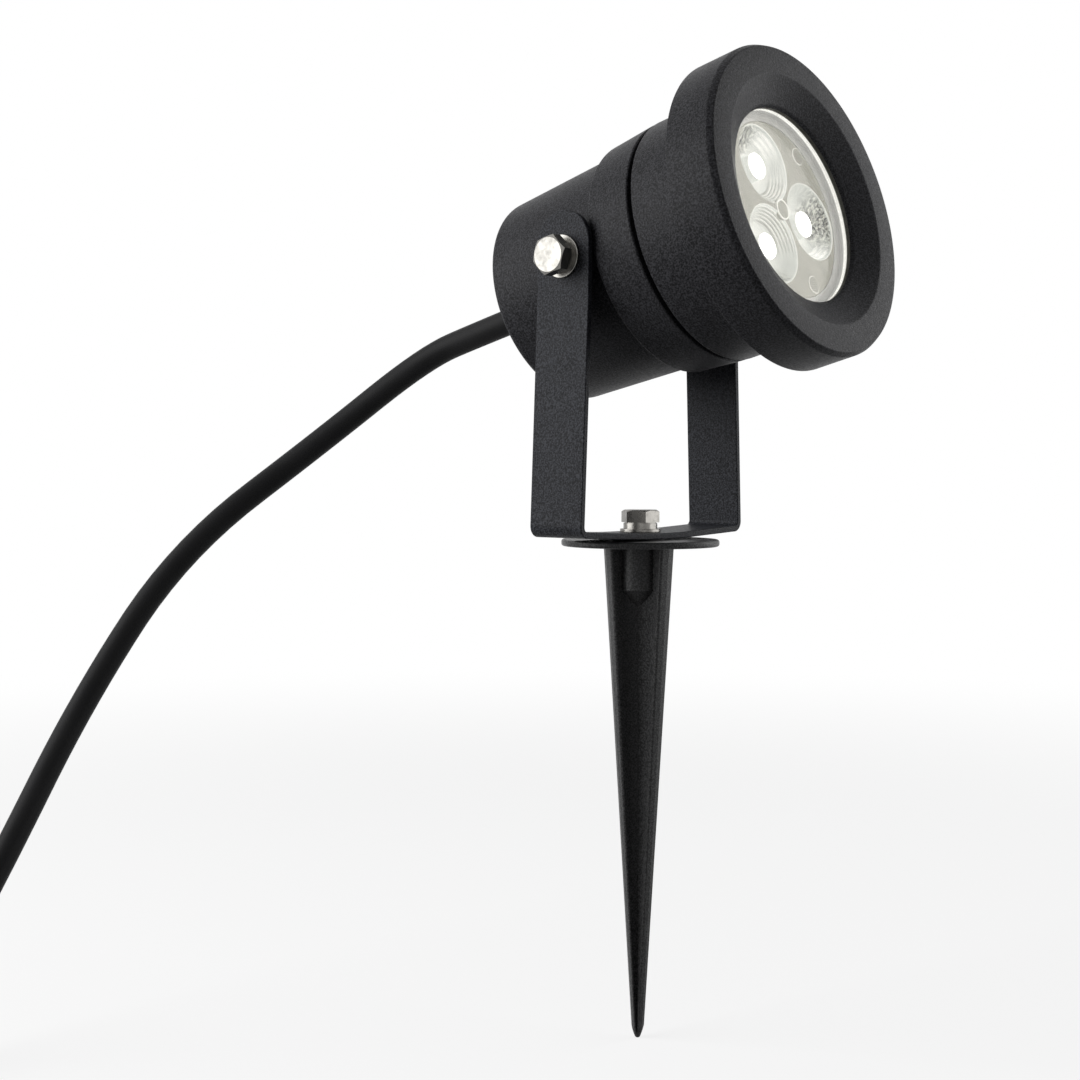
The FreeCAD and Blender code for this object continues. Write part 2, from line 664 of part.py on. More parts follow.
def rear_housing():
    """A cup with a tapered front collar, pivot bosses on both sides and an earth boss inside."""
    mouth = SPIGOT_RADIUS + SPIGOT_CLEARANCE
    mouth_floor = SPIGOT_END - SPIGOT_CLEARANCE
    cup = turned(
        [
            (0, -REAR_OVERHANG, 0),
            (REAR_RADIUS, -REAR_OVERHANG, REAR_ROUNDING),
            (BODY_FRONT_RADIUS, COLLAR_START, 0),
            (COLLAR_RADIUS, COLLAR_START, CASTING_ROUNDING),
            (COLLAR_FRONT_RADIUS, COLLAR_END, CASTING_ROUNDING),
            (mouth, COLLAR_END, 0),
            (mouth, mouth_floor, 0),
            (CAVITY_RADIUS, mouth_floor, 0),
            (CAVITY_RADIUS, REAR_WALL_FRONT, REAR_ROUNDING),
            (0, REAR_WALL_FRONT, 0),
        ]
    )
    boss_face = ARM_GAP_AT_PIVOT / 2
    boss_start = CAVITY_RADIUS - PIVOT_BOSS_INSIDE
    tapped_depth = PIVOT_BOLT_LENGTH - WASHER_STACK - STRAP_THICKNESS + TAPPED_DEPTH_SPARE
    bosses = []
    holes = []
    for side in (-1, 1):
        outward = V(side, 0, 0)
        boss_length = boss_face - boss_start
        bosses.append(
            Part.makeCylinder(PIVOT_BOSS_RADIUS, boss_length, outward * boss_start, outward)
        )
        hole_start = outward * (boss_face - tapped_depth)
        radius = BOLT_RADIUS + THREAD_CLEARANCE
        holes.append(Part.makeCylinder(radius, tapped_depth, hole_start, outward))
    earth_top = REAR_WALL_FRONT + EARTH_BOSS_HEIGHT
    place = V(0, EARTH_BOSS_OFFSET, 0)
    bosses.append(disc(EARTH_BOSS_RADIUS, REAR_WALL_FRONT, earth_top).translated(place))
    earth_hole = disc(EARTH_SCREW_RADIUS + THREAD_CLEARANCE, REAR_WALL_FRONT, earth_top)
    holes.append(earth_hole.translated(place))
    holes.append(disc(GLAND_THREAD_RADIUS + WASHER_CLEARANCE, -REAR_OVERHANG, REAR_WALL_FRONT))
    return cut_all(cup.fuse(bosses), holes).removeSplitter()


def front_bezel():
    """The front casting: spigot, ring, wide bezel with a coned face, and the lip round the glass."""
    chamfer_inwards, chamfer_along = BEZEL_CHAMFER
    return turned(
        [
            (CHAMBER_RADIUS, SPIGOT_END, 0),
            (SPIGOT_RADIUS, SPIGOT_END, 0),
            (SPIGOT_RADIUS, RING_START, 0),
            (RING_RADIUS, RING_START, CASTING_ROUNDING),
            (RING_RADIUS, BEZEL_START, CASTING_ROUNDING),
            (BEZEL_RADIUS, BEZEL_START, CASTING_ROUNDING),
            (BEZEL_RADIUS, FACE - chamfer_along, 0),
            (BEZEL_RADIUS - chamfer_inwards, FACE, 0),
            (FACE_INNER_RADIUS, FACE, 0),
            (APERTURE_RADIUS, FACE - FACE_CONE_DEPTH, 0),
            (APERTURE_RADIUS, LIP_BACK, 0),
            (CHAMBER_RADIUS, LIP_BACK, 0),
        ]
    )


def body_gasket():
    inner = SPIGOT_RADIUS + INNER_CLEARANCE
    return ring(inner, inner + BODY_GASKET_WIDTH, COLLAR_END, RING_START)


# ---------------------------------------------------------------- optical stack


def glass_cover():
    return ring(0, GLASS_RADIUS, GLASS_BACK, GLASS_FRONT, WASHER_ROUNDING)


def glass_gasket():
    """A channel that wraps the rim of the glass."""
    shown = APERTURE_RADIUS - GLASS_GASKET_SHOW
    channel = GLASS_RADIUS + INNER_CLEARANCE
    return turned(
        plain(
            (shown, LIP_BACK),
            (shown, GLASS_FRONT),
            (channel, GLASS_FRONT),
            (channel, GLASS_BACK),
            (shown, GLASS_BACK),
            (shown, GLASS_GASKET_BACK),
            (STACK_RADIUS, GLASS_GASKET_BACK),
            (STACK_RADIUS, LIP_BACK),
        )
    )


def spacer_sleeve():
    return ring(STACK_RADIUS - SLEEVE_WALL, STACK_RADIUS, PLATE_FRONT, GLASS_GASKET_BACK)


def triple_optic():
    """Three coned lenses under one disc, with a skirt and a post that stand on the board."""
    disc_back = OPTIC_FRONT - OPTIC_DISC_THICKNESS
    body = disc(OPTIC_RADIUS, disc_back, OPTIC_FRONT)
    skirt = ring(OPTIC_RADIUS - OPTIC_SKIRT_WALL, OPTIC_RADIUS, BOARD_FRONT, disc_back)
    post = disc(POST_RADIUS, BOARD_FRONT, OPTIC_FRONT)
    foot = BOARD_FRONT + CUP_FOOT_GAP
    cone = Part.makeCone(CUP_REAR_RADIUS, CUP_FRONT_RADIUS, OPTIC_FRONT - foot, V(0, 0, foot))
    well_floor = OPTIC_FRONT - CUP_WELL_DEPTH
    well = Part.makeCone(
        CUP_WELL_FLOOR_RADIUS, CUP_WELL_RADIUS, CUP_WELL_DEPTH, V(0, 0, well_floor)
    )
    pocket = disc(EMITTER_POCKET_RADIUS, foot, foot + EMITTER_POCKET_DEPTH)
    centres = around(CUP_COUNT, CUP_TURN, CUP_PITCH_RADIUS)
    cones = [cone.translated(centre) for centre in centres]
    hollows = [tool.translated(centre) for tool in (well, pocket) for centre in centres]
    return cut_all(body.fuse([skirt, post] + cones), hollows).removeSplitter()


def led_emitters():
    half = EMITTER_SIDE / 2
    base = Part.makeBox(EMITTER_SIDE, EMITTER_SIDE, EMITTER_BASE, V(-half, -half, BOARD_FRONT))
    dome_z = BOARD_FRONT + EMITTER_BASE
    dome = Part.makeSphere(EMITTER_DOME_RADIUS, V(0, 0, dome_z), V(0, 0, 1), 0, 90)
    emitter = base.fuse(dome).removeSplitter()
    return copies(emitter, around(CUP_COUNT, CUP_TURN, CUP_PITCH_RADIUS))


def screw_places():
    return around(CUP_COUNT, SCREW_TURN, M3_PITCH_RADIUS)


def standoff_places():
    return around(CUP_COUNT, CUP_TURN, M3_PITCH_RADIUS)


def led_board():
    hole = disc(M3_RADIUS + M3_CLEARANCE, BOARD_BACK, BOARD_FRONT)
    return cut_all(disc(BOARD_RADIUS, BOARD_BACK, BOARD_FRONT), [copies(hole, screw_places())])


def thermal_pad():
    hole = disc(M3_RADIUS + M3_CLEARANCE, PLATE_FRONT, BOARD_BACK)
    lead_hole = disc(LEAD_HOLE_RADIUS, PLATE_FRONT, BOARD_BACK)
    pad = disc(BOARD_RADIUS, PLATE_FRONT, BOARD_BACK)
    return cut_all(pad, [copies(hole, screw_places()), lead_hole])


def heat_plate():
    """The disc that screws into the front casting and holds the stack and the driver."""
    hole = disc(M3_RADIUS + THREAD_CLEARANCE, PLATE_BACK, PLATE_FRONT)
    lead_hole = disc(LEAD_HOLE_RADIUS, PLATE_BACK, PLATE_FRONT)
    plate = disc(STACK_RADIUS, PLATE_BACK, PLATE_FRONT)
    return cut_all(plate, [copies(hole, screw_places() + standoff_places()), lead_hole])


def board_screws():
    length = BOARD_THICKNESS + PAD_THICKNESS + HEAT_PLATE_THICKNESS
    return copies(screw_m3(length).translated(V(0, 0, BOARD_FRONT)), screw_places())


# ---------------------------------------------------------------- driver


def driver_standoffs():
    spacer = hexagon(STANDOFF_FLATS, DRIVER_FRONT, PLATE_BACK)
    stud = disc(M3_RADIUS, PLATE_BACK, PLATE_FRONT)
    bore = disc(M3_RADIUS + THREAD_CLEARANCE, DRIVER_FRONT, DRIVER_FRONT + DRIVER_SCREW_LENGTH)
    return copies(spacer.fuse(stud).cut(bore).removeSplitter(), standoff_places())


def driver_board():
    hole = disc(M3_RADIUS + M3_CLEARANCE, DRIVER_BACK, DRIVER_FRONT)
    board = disc(DRIVER_BOARD_RADIUS, DRIVER_BACK, DRIVER_FRONT)
    return cut_all(board, [copies(hole, standoff_places())])


def driver_screws():
    screw = screw_m3(DRIVER_SCREW_LENGTH)
    screw.rotate(V(0, 0, 0), V(1, 0, 0), 180)
    return copies(screw.translated(V(0, 0, DRIVER_BACK)), standoff_places())


def driver_transformer():
    """A winding inside a core that stands out on two sides."""
    width, height, depth = TRANSFORMER_SIZE
    inset = WINDING_INSET
    corner = V(-width / 2 + inset, -height / 2 + inset, DRIVER_BACK - depth + inset)
    winding = Part.makeBox(width - 2 * inset, height - 2 * inset, depth - inset, corner)
    core_corner = V(-width / 2, -height / 2, DRIVER_BACK - depth)
    core = Part.makeBox(width, TRANSFORMER_CORE_WIDTH, depth, core_corner)
    core.translate(V(0, (height - TRANSFORMER_CORE_WIDTH) / 2, 0))
    return winding.fuse(core).removeSplitter()


def driver_capacitors():
    x, y = CAPACITOR_OFFSET
    can = ring(0, CAPACITOR_RADIUS, DRIVER_BACK - CAPACITOR_LENGTH, DRIVER_BACK, WASHER_ROUNDING)
    return copies(can, [V(x, y, 0), V(-x, y, 0)])


def terminal_ways():
    """The places of the terminal block's holes."""
    pitch = TERMINAL_SIZE[0] / TERMINAL_WAYS
    middle = (TERMINAL_WAYS - 1) / 2
    return [V((k - middle) * pitch, -TERMINAL_OFFSET, 0) for k in range(TERMINAL_WAYS)]


def terminal_block():
    width, height, depth = TERMINAL_SIZE
    corner = V(-width / 2, -TERMINAL_OFFSET - height / 2, DRIVER_BACK - depth)
    block = Part.makeBox(width, height, depth, corner)
    hole = disc(TERMINAL_HOLE_RADIUS, DRIVER_BACK - depth, DRIVER_BACK - depth / 2)
    return cut_all(block, [copies(hole, terminal_ways())])


def supply_leads():
    """Two cores from the cord to the terminal block, and one to the earth screw."""
    block_face = DRIVER_BACK - TERMINAL_SIZE[2]
    core_circle = CORD_RADIUS / 2
    straight = LEAD_STRAIGHT
    earth_head = REAR_WALL_FRONT + EARTH_BOSS_HEIGHT + M3_HEAD_HEIGHT
    leads = []
    for way, angle in ((terminal_ways()[0], 210), (terminal_ways()[-1], 330)):
        start = polar(core_circle, angle, CORD_INNER_END)
        end = V(way.x, way.y, block_face)
        leads.append([start, start + V(0, 0, straight), end - V(0, 0, straight), end])
    start = polar(core_circle, 90, CORD_INNER_END)
    top = V(0, EARTH_BOSS_OFFSET, CORD_INNER_END + straight)
    end = V(0, EARTH_BOSS_OFFSET, earth_head)
    leads.append([start, start + V(0, 0, straight), top, end])
    return Part.makeCompound(
        [tube(route_wire(points)[0], LEAD_RADIUS, points[0], V(0, 0, 1)) for points in leads]
    )


def led_leads():
    lead = disc(LEAD_RADIUS, DRIVER_FRONT, BOARD_BACK)
    return copies(lead, [V(LED_LEAD_SPREAD, 0, 0), V(-LED_LEAD_SPREAD, 0, 0)])


def earth_screw():
    top = REAR_WALL_FRONT + EARTH_BOSS_HEIGHT
    shank = disc(EARTH_SCREW_RADIUS, REAR_WALL_FRONT, top)
    head = disc(EARTH_BOSS_RADIUS, top, top + M3_HEAD_HEIGHT)
    return shank.fuse(head).removeSplitter().translated(V(0, EARTH_BOSS_OFFSET, 0))


# ---------------------------------------------------------------- gland


def cable_gland():
    bore = GLAND_BORE_RADIUS + CORD_CLEARANCE
    flange = hexagon(GLAND_FLATS, BOOT_START, GLAND_FACE)
    thread = disc(GLAND_THREAD_RADIUS, GLAND_FACE, GLAND_INNER_END)
    return flange.fuse(thread).cut(disc(bore, BOOT_START, GLAND_INNER_END)).removeSplitter()


def gland_washer():
    inner = GLAND_THREAD_RADIUS + WASHER_CLEARANCE
    return ring(inner, GLAND_FLATS / 2, GLAND_FACE, -REAR_OVERHANG)


def gland_locknut():
    nut = hexagon(GLAND_FLATS, REAR_WALL_FRONT, REAR_WALL_FRONT + LOCKNUT_THICKNESS, LOCKNUT_TURN)
    bore = GLAND_THREAD_RADIUS + THREAD_CLEARANCE
    return nut.cut(disc(bore, REAR_WALL_FRONT, REAR_WALL_FRONT + LOCKNUT_THICKNESS))


def strain_relief():
    """A tapered boot with rings cut round it, and a stub inside the gland."""
    bore = CORD_RADIUS + CORD_CLEARANCE
    stub_end = BOOT_START + BOOT_STUB_LENGTH
    boot = turned(
        [
            (bore, BOOT_END, 0),
            (BOOT_END_RADIUS, BOOT_END, 0),
            (BOOT_RADIUS, BOOT_START, CASTING_ROUNDING),
            (GLAND_BORE_RADIUS, BOOT_START, 0),
            (GLAND_BORE_RADIUS, stub_end, 0),
            (bore, stub_end, 0),
        ]
    )
    pitch = BOOT_LENGTH / (BOOT_GROOVES + 1)
    taper = (BOOT_RADIUS - BOOT_END_RADIUS) / BOOT_LENGTH
    grooves = []
    for k in range(1, BOOT_GROOVES + 1):
        z = BOOT_END + pitch * k
        surface = BOOT_END_RADIUS + taper * pitch * k
        depth = BOOT_GROOVE_DEPTH * min(1.0, (surface - bore) / (2 * BOOT_GROOVE_DEPTH))
        grooves.append(
            ring(surface - depth, BOOT_RADIUS, z - BOOT_GROOVE_WIDTH / 2, z + BOOT_GROOVE_WIDTH / 2)
        )
    return cut_all(boot, grooves)


def cord_inner_end():
    return disc(CORD_RADIUS, BOOT_END, CORD_INNER_END)


# ---------------------------------------------------------------- cord, coil and plug


def lamp_point(z):
    """A point on the lamp's axis, where it stands at rest."""
    tilt = math.radians(TILT)
    return V(0, -z * math.cos(tilt), PIVOT_Z + z * math.sin(tilt))


def coil_radius(turns):
    return COIL_RADIUS - COIL_STEP * min(turns, COIL_TURNS - turns)


def coil_height(turns):
    """The climb to the second layer takes about the half turn where the spiral reverses."""
    climb = 2 * COIL_TURNS / COIL_ARC_PAIRS
    share = (turns - COIL_TURNS / 2) / climb + 0.5
    share = min(max(share, 0.0), 1.0)
    return COIL_LIFT + COIL_STEP * share * share * (3 - 2 * share)


def coil_node(index):
    """Where the coil's centreline stands and heads at the start of an arc pair."""
    step = COIL_TURNS / COIL_ARC_PAIRS
    turns = step * index
    middle = COIL_ARC_PAIRS / 2
    inward = 0
    if 0 < index < COIL_ARC_PAIRS and index != middle:
        inward = -COIL_STEP if index < middle else COIL_STEP
    climb = 1.5 * COIL_STEP / (2 * step) if index == middle else 0
    angle = COIL_START_ANGLE + 360 * turns
    radius = coil_radius(turns)
    radial = polar(1, angle)
    tangent = polar(1, angle + 90)
    centre = V(COIL_CENTRE[0], COIL_CENTRE[1], coil_height(turns))
    heading = radial * inward + tangent * (2 * math.pi * radius) + V(0, 0, climb)
    return centre + radial * radius, heading.normalize()


def coil_wire():
    """The coil's centreline, with a straight stretch of one diameter at both ends."""
    nodes = [coil_node(i) for i in range(COIL_ARC_PAIRS + 1)]
    straight = 2 * CORD_RADIUS
    first, first_heading = nodes[0]
    last, last_heading = nodes[-1]
    start = first - first_heading * straight
    end = last + last_heading * straight
    edges = [Part.LineSegment(start, first).toShape()]
    for (place, heading), (next_place, next_heading) in zip(nodes, nodes[1:]):
        edges += arc_pair(place, heading, next_place, next_heading)
    edges.append(Part.LineSegment(last, end).toShape())
    return Part.Wire(edges), start, first_heading, end, last_heading


def least_gap(wire, diameter):
    """The least distance between the tube's surface and its own other turns."""
    points = wire.discretize(Distance=diameter / 2)
    own_neighbours = 8
    least = wire.Length
    for i, point in enumerate(points):
        for other in points[i + own_neighbours :]:
            least = min(least, point.distanceToPoint(other))
    return least - diameter


def cord_tie():
    """A band round all the turns at one place."""
    turns_there = []
    turns = ((TIE_ANGLE - COIL_START_ANGLE) % 360) / 360
    while turns < COIL_TURNS:
        turns_there.append(turns)
        turns += 1
    radii = [coil_radius(t) for t in turns_there]
    heights = [coil_height(t) for t in turns_there]
    side = CORD_RADIUS + TIE_SIDE_CLEARANCE
    level = CORD_RADIUS + TIE_CLEARANCE
    inner = [min(radii) - side, min(heights) - level, max(radii) + side, max(heights) + level]

    def band(grow):
        r0, z0, r1, z1 = inner[0] - grow, inner[1] - grow, inner[2] + grow, inner[3] + grow
        rounding = TIE_CORNER_RADIUS + grow
        corners = [(r0, z0, rounding), (r1, z0, rounding), (r1, z1, rounding), (r0, z1, rounding)]
        face = Part.Face(outline(corners, lambda r, z: V(r, -TIE_WIDTH / 2, z)))
        return face.extrude(V(0, TIE_WIDTH, 0))

    tie = band(TIE_THICKNESS).cut(band(0))
    tie.rotate(V(0, 0, 0), V(0, 0, 1), TIE_ANGLE)
    return tie.translated(V(COIL_CENTRE[0], COIL_CENTRE[1], 0))


def seat_as_plug(shape, back):
    """From drawn along z to lying with its axis along -Y and its cord end at back."""
    placed = shape.copy()
    placed.rotate(V(0, 0, 0), V(1, 0, 0), 90)
    placed.translate(back)
    return placed


def plug_pieces(back):
    """A moulded plug: nose, grip, round front with two notches, pins and earth clips."""
    grip_start = PLUG_NOSE_LENGTH
    front_start = grip_start + PLUG_GRIP_LENGTH
    front = front_start + PLUG_FRONT_LENGTH
    body = turned(
        [
            (0, 0, 0),
            (PLUG_NOSE_END_RADIUS, 0, 0),
            (PLUG_NOSE_RADIUS, grip_start, 0),
            (PLUG_GRIP_RADIUS, grip_start + PLUG_ROUNDING, PLUG_ROUNDING),
            (PLUG_GRIP_RADIUS - PLUG_ROUNDING, front_start - PLUG_ROUNDING, PLUG_ROUNDING),
            (PLUG_RADIUS, front_start + PLUG_ROUNDING, PLUG_ROUNDING),
            (PLUG_RADIUS, front, PLUG_ROUNDING),
            (0, front, 0),
        ]
    )
    pin = turned(
        [
            (0, front - PIN_IN_BODY, 0),
            (PIN_ROOT_RADIUS, front - PIN_IN_BODY, 0),
            (PIN_ROOT_RADIUS, front, 0),
            (PIN_RADIUS, front, 0),
            (PIN_RADIUS, front + PIN_LENGTH, PIN_ROUNDING),
            (0, front + PIN_LENGTH, 0),
        ]
    )
    pins = copies(pin, [V(PIN_SPACING / 2, 0, 0), V(-PIN_SPACING / 2, 0, 0)])
    notches = []
    clips = []
    for side in (-1, 1):
        floor = PLUG_RADIUS - CLIP_NOTCH_DEPTH
        notch = Part.makeBox(
            CLIP_NOTCH_WIDTH,
            PLUG_RADIUS,
            PLUG_FRONT_LENGTH,
            V(-CLIP_NOTCH_WIDTH / 2, floor, front - PLUG_FRONT_LENGTH + 2 * PLUG_ROUNDING),
        )
        clip = Part.makeBox(
            CLIP_WIDTH, CLIP_THICKNESS, CLIP_LENGTH, V(-CLIP_WIDTH / 2, floor, front - CLIP_LENGTH)
        )
        turn = 90 - 90 * side
        notch.rotate(V(0, 0, 0), V(0, 0, 1), turn)
        clip.rotate(V(0, 0, 0), V(0, 0, 1), turn)
        notches.append(notch)
        clips.append(clip)
    body = cut_all(body, notches + [pins])
    pieces = {
        "plug_body": body,
        "plug_pins": pins,
        "plug_earth_clips": Part.makeCompound(clips),
    }
    return {name: seat_as_plug(piece, back) for name, piece in pieces.items()}


def swept(name, wire, start, direction):
    """A tube along a wire, with its volume set against its section times its length."""
    solid = tube(wire, CORD_RADIUS, start, direction)
    expected = math.pi * CORD_RADIUS**2 * wire.Length
    print(f"{name}: {wire.Length:.1f} long, volume {solid.Volume / expected:.5f} of section x length")
    return solid


def cord_pieces():
    """The free stretch, the coil, the tail and the plug."""
    winding, coil_start, coil_entry, coil_end, coil_exit = coil_wire()
    boot_end = lamp_point(BOOT_END)
    outward = (lamp_point(BOOT_END) - lamp_point(0)).normalize()
    lead = [boot_end, boot_end + outward * CORD_FIRST_RUN]
    lead += [V(*point) for point in CORD_ROUTE]
    lead += [coil_start - coil_entry * CORD_LAST_RUN, coil_start]
    lead_wire, lead_radii = route_wire(lead)
    plug_back_z = PLUG_RADIUS
    rise = plug_back_z - coil_end.z
    level = math.sqrt(TAIL_MIDDLE_RUN**2 - rise**2)
    first_corner = coil_end + coil_exit * TAIL_END_RUN
    second_corner = first_corner + coil_exit * level + V(0, 0, rise)
    plug_back = second_corner + coil_exit * TAIL_END_RUN
    tail_wire, tail_radii = route_wire([coil_end, first_corner, second_corner, plug_back])
    print("radii of the free stretch:", [round(radius) for radius in lead_radii])
    print("radii of the tail:", [round(radius) for radius in tail_radii])
    print(f"the coil's least gap to itself: {least_gap(winding, 2 * CORD_RADIUS):.2f}")
    total = lead_wire.Length + winding.Length + tail_wire.Length
    print(f"cord outside the lamp: {total:.0f}")
    pieces = {
        "cord_lead": swept("cord_lead", lead_wire, boot_end, outward),
        "cord_coil": swept("cord_coil", winding, coil_start, coil_entry),
        "cord_tail": swept("cord_tail", tail_wire, coil_end, coil_exit),
        "cord_tie": cord_tie(),
    }
    pieces.update(plug_pieces(plug_back))
    return pieces


# ---------------------------------------------------------------- the whole lamp


def lamp_pieces():
    """What tilts with the lamp, drawn on its axis."""
    makers = (
        rear_housing,
        front_bezel,
        body_gasket,
        glass_cover,
        glass_gasket,
        spacer_sleeve,
        triple_optic,
        led_emitters,
        led_board,
        board_screws,
        thermal_pad,
        heat_plate,
        driver_standoffs,
        driver_board,
        driver_screws,
        driver_transformer,
        driver_capacitors,
        terminal_block,
        supply_leads,
        led_leads,
        earth_screw,
        cable_gland,
        gland_washer,
        gland_locknut,
        strain_relief,
        cord_inner_end,
    )
    return {maker.__name__: seat_in_lamp(maker()) for maker in makers}


def pivot_fasteners():
    face = ARM_GAP_AT_PIVOT / 2 + STRAP_THICKNESS
    bolt = hex_bolt(PIVOT_BOLT_LENGTH, PIVOT_BOLT_TURN)
    return {
        "pivot_plain_washers": on_both_arms(plain_washer(), face),
        "pivot_spring_washers": on_both_arms(spring_washer(), face + PLAIN_WASHER_THICKNESS),
        "pivot_bolts": on_both_arms(bolt, face + WASHER_STACK),
    }


def main():
    os.makedirs("parts", exist_ok=True)
    nodes = {"spike": spike(), "yoke_bracket": yoke_bracket()}
    nodes.update(base_fasteners())
    nodes.update(lamp_pieces())
    nodes.update(pivot_fasteners())
    nodes.update(cord_pieces())
    for name, shape in nodes.items():
        if not shape.isValid():
            print("not valid:", name)
        shape.exportStep(f"parts/{name}.step")
    print(len(nodes), "nodes")


main()
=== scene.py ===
import json
import math

import bmesh
import bpy
from mathutils import Matrix, Vector
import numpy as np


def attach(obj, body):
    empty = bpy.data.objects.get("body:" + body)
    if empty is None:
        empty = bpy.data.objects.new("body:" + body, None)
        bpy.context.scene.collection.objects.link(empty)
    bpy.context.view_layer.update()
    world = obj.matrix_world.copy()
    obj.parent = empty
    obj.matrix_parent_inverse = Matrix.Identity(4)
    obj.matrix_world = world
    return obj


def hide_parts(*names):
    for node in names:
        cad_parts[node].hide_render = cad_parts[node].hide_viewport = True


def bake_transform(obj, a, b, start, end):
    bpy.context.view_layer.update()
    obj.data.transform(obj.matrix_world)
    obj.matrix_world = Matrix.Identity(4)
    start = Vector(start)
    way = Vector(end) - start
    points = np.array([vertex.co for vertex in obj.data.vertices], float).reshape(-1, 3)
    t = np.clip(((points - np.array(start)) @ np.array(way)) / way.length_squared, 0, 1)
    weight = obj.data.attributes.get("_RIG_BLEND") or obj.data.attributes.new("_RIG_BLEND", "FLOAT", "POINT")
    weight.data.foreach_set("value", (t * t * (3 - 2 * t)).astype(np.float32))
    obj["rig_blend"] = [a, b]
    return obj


# Dresses the garden spike spotlight. Metres, in the frame of the solids: the origin is the spike's
# point, +Z is up and the lamp aims towards -Y.

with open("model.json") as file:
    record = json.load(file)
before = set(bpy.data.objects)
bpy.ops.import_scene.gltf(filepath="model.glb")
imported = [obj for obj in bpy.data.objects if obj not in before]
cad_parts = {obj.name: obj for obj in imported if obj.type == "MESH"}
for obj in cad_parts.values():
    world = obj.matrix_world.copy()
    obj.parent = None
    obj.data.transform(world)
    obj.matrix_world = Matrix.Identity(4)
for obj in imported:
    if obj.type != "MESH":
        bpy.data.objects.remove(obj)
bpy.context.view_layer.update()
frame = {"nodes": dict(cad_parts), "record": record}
NODES = frame["nodes"]

# ---------------------------------------------------------------- where things are

PIVOT_Z = 0.2288
TILT = math.radians(15)
CORD_RADIUS = 0.004

# Stations on the lamp's axis, measured forward from the tilt axis
OPTIC_BACK = 0.0381
BOOT_END = -0.0501


def lamp_matrix():
    """From the lamp's own axis (z forward, y its upper side) to its place at rest."""
    turn = Matrix.Rotation(math.pi / 2 - TILT, 4, "X")
    return Matrix.Translation((0, 0, PIVOT_Z)) @ turn


LAMP = lamp_matrix()

# ---------------------------------------------------------------- camera

CAMERA_PLACE = Vector((-0.44196, -0.32498, 0.17270))
CAMERA_TARGET = Vector((-0.01881, 0.02286, 0.14863))
CAMERA_ROLL = math.radians(0.185)
CAMERA_LENS = 61.894


def make_camera():
    back = (CAMERA_PLACE - CAMERA_TARGET).normalized()
    right = Vector((0, 0, 1)).cross(back).normalized()
    up = back.cross(right)
    rolled_right = right * math.cos(CAMERA_ROLL) + up * math.sin(CAMERA_ROLL)
    rolled_up = up * math.cos(CAMERA_ROLL) - right * math.sin(CAMERA_ROLL)
    matrix = Matrix((rolled_right, rolled_up, back)).transposed().to_4x4()
    matrix.translation = CAMERA_PLACE
    data = bpy.data.cameras.new("camera")
    data.lens = CAMERA_LENS
    data.sensor_width = 36
    camera = bpy.data.objects.new("camera", data)
    camera.matrix_world = matrix
    bpy.context.scene.collection.objects.link(camera)
    bpy.context.scene.camera = camera


make_camera()

# ---------------------------------------------------------------- cord

CORD_INSIDE = 0.025  # how far the tube starts inside the boot
FREE_ROUTE = (
    (0.0, 0.06279, 0.21198),
    (-0.0023, 0.0843, 0.2051),
    (-0.0176, 0.1156, 0.1786),
    (-0.0572, 0.1404, 0.1432),
    (-0.090, 0.148, 0.097),
    (-0.122, 0.146, 0.050),
    (-0.152, 0.141, 0.014),
    (-0.189, 0.138, 0.0047),
)
TAIL_ROUTE = (
    (-0.279, 0.065, 0.0132),
    (-0.279, 0.03567, 0.0195),
    (-0.279, 0.01967, 0.0195),
)
COIL_CENTRE = (-0.230, 0.089)
COIL_RADIUS = 0.049
COIL_STEP = 0.0085
COIL_TURNS = 4.25
COIL_LIFT = 0.0047
COIL_CLIMB = 0.4722
COIL_POINTS_A_TURN = 16


def coil_radius(turns):
    return COIL_RADIUS - COIL_STEP * min(turns, COIL_TURNS - turns)


def coil_height(turns):
    share = (turns - COIL_TURNS / 2) / COIL_CLIMB + 0.5
    share = min(max(share, 0.0), 1.0)
    return COIL_LIFT + COIL_STEP * share * share * (3 - 2 * share)


def coil_points():
    """Control points a little outside the turns, so that the smooth line lies on them."""
    outside = 1 / math.cos(math.pi / COIL_POINTS_A_TURN)
    points = []
    for k in range(int(COIL_TURNS * COIL_POINTS_A_TURN)):
        turns = (k + 0.5) / COIL_POINTS_A_TURN
        angle = math.pi / 2 + 2 * math.pi * turns
        radius = coil_radius(turns) * outside
        x = COIL_CENTRE[0] + radius * math.cos(angle)
        y = COIL_CENTRE[1] + radius * math.sin(angle)
        points.append((x, y, coil_height(turns)))
    return points


def smooth_line(name, points, radius=0.0):
    """The mesh of a smooth line through a route's control points, as a tube or as a bare line."""
    data = bpy.data.curves.new(name, "CURVE")
    data.dimensions = "3D"
    data.resolution_u = 8
    data.bevel_depth = radius
    data.bevel_resolution = 6
    data.use_fill_caps = True
    spline = data.splines.new("NURBS")
    spline.points.add(len(points) - 1)
    for point, place in zip(spline.points, points):
        point.co = (*place, 1.0)
    spline.order_u = 3
    spline.use_endpoint_u = True
    holder = bpy.data.objects.new(name, data)
    bpy.context.scene.collection.objects.link(holder)
    bpy.context.view_layer.update()
    evaluated = holder.evaluated_get(bpy.context.evaluated_depsgraph_get())
    mesh = bpy.data.meshes.new_from_object(evaluated)
    bpy.data.objects.remove(holder)
    bpy.data.curves.remove(data)
    return mesh


def add_mesh(name, mesh, smooth=True):
    mesh.name = name
    made = bpy.data.objects.new(name, mesh)
    bpy.context.scene.collection.objects.link(made)
    if smooth:
        mesh.polygons.foreach_set("use_smooth", [True] * len(mesh.polygons))
    return made


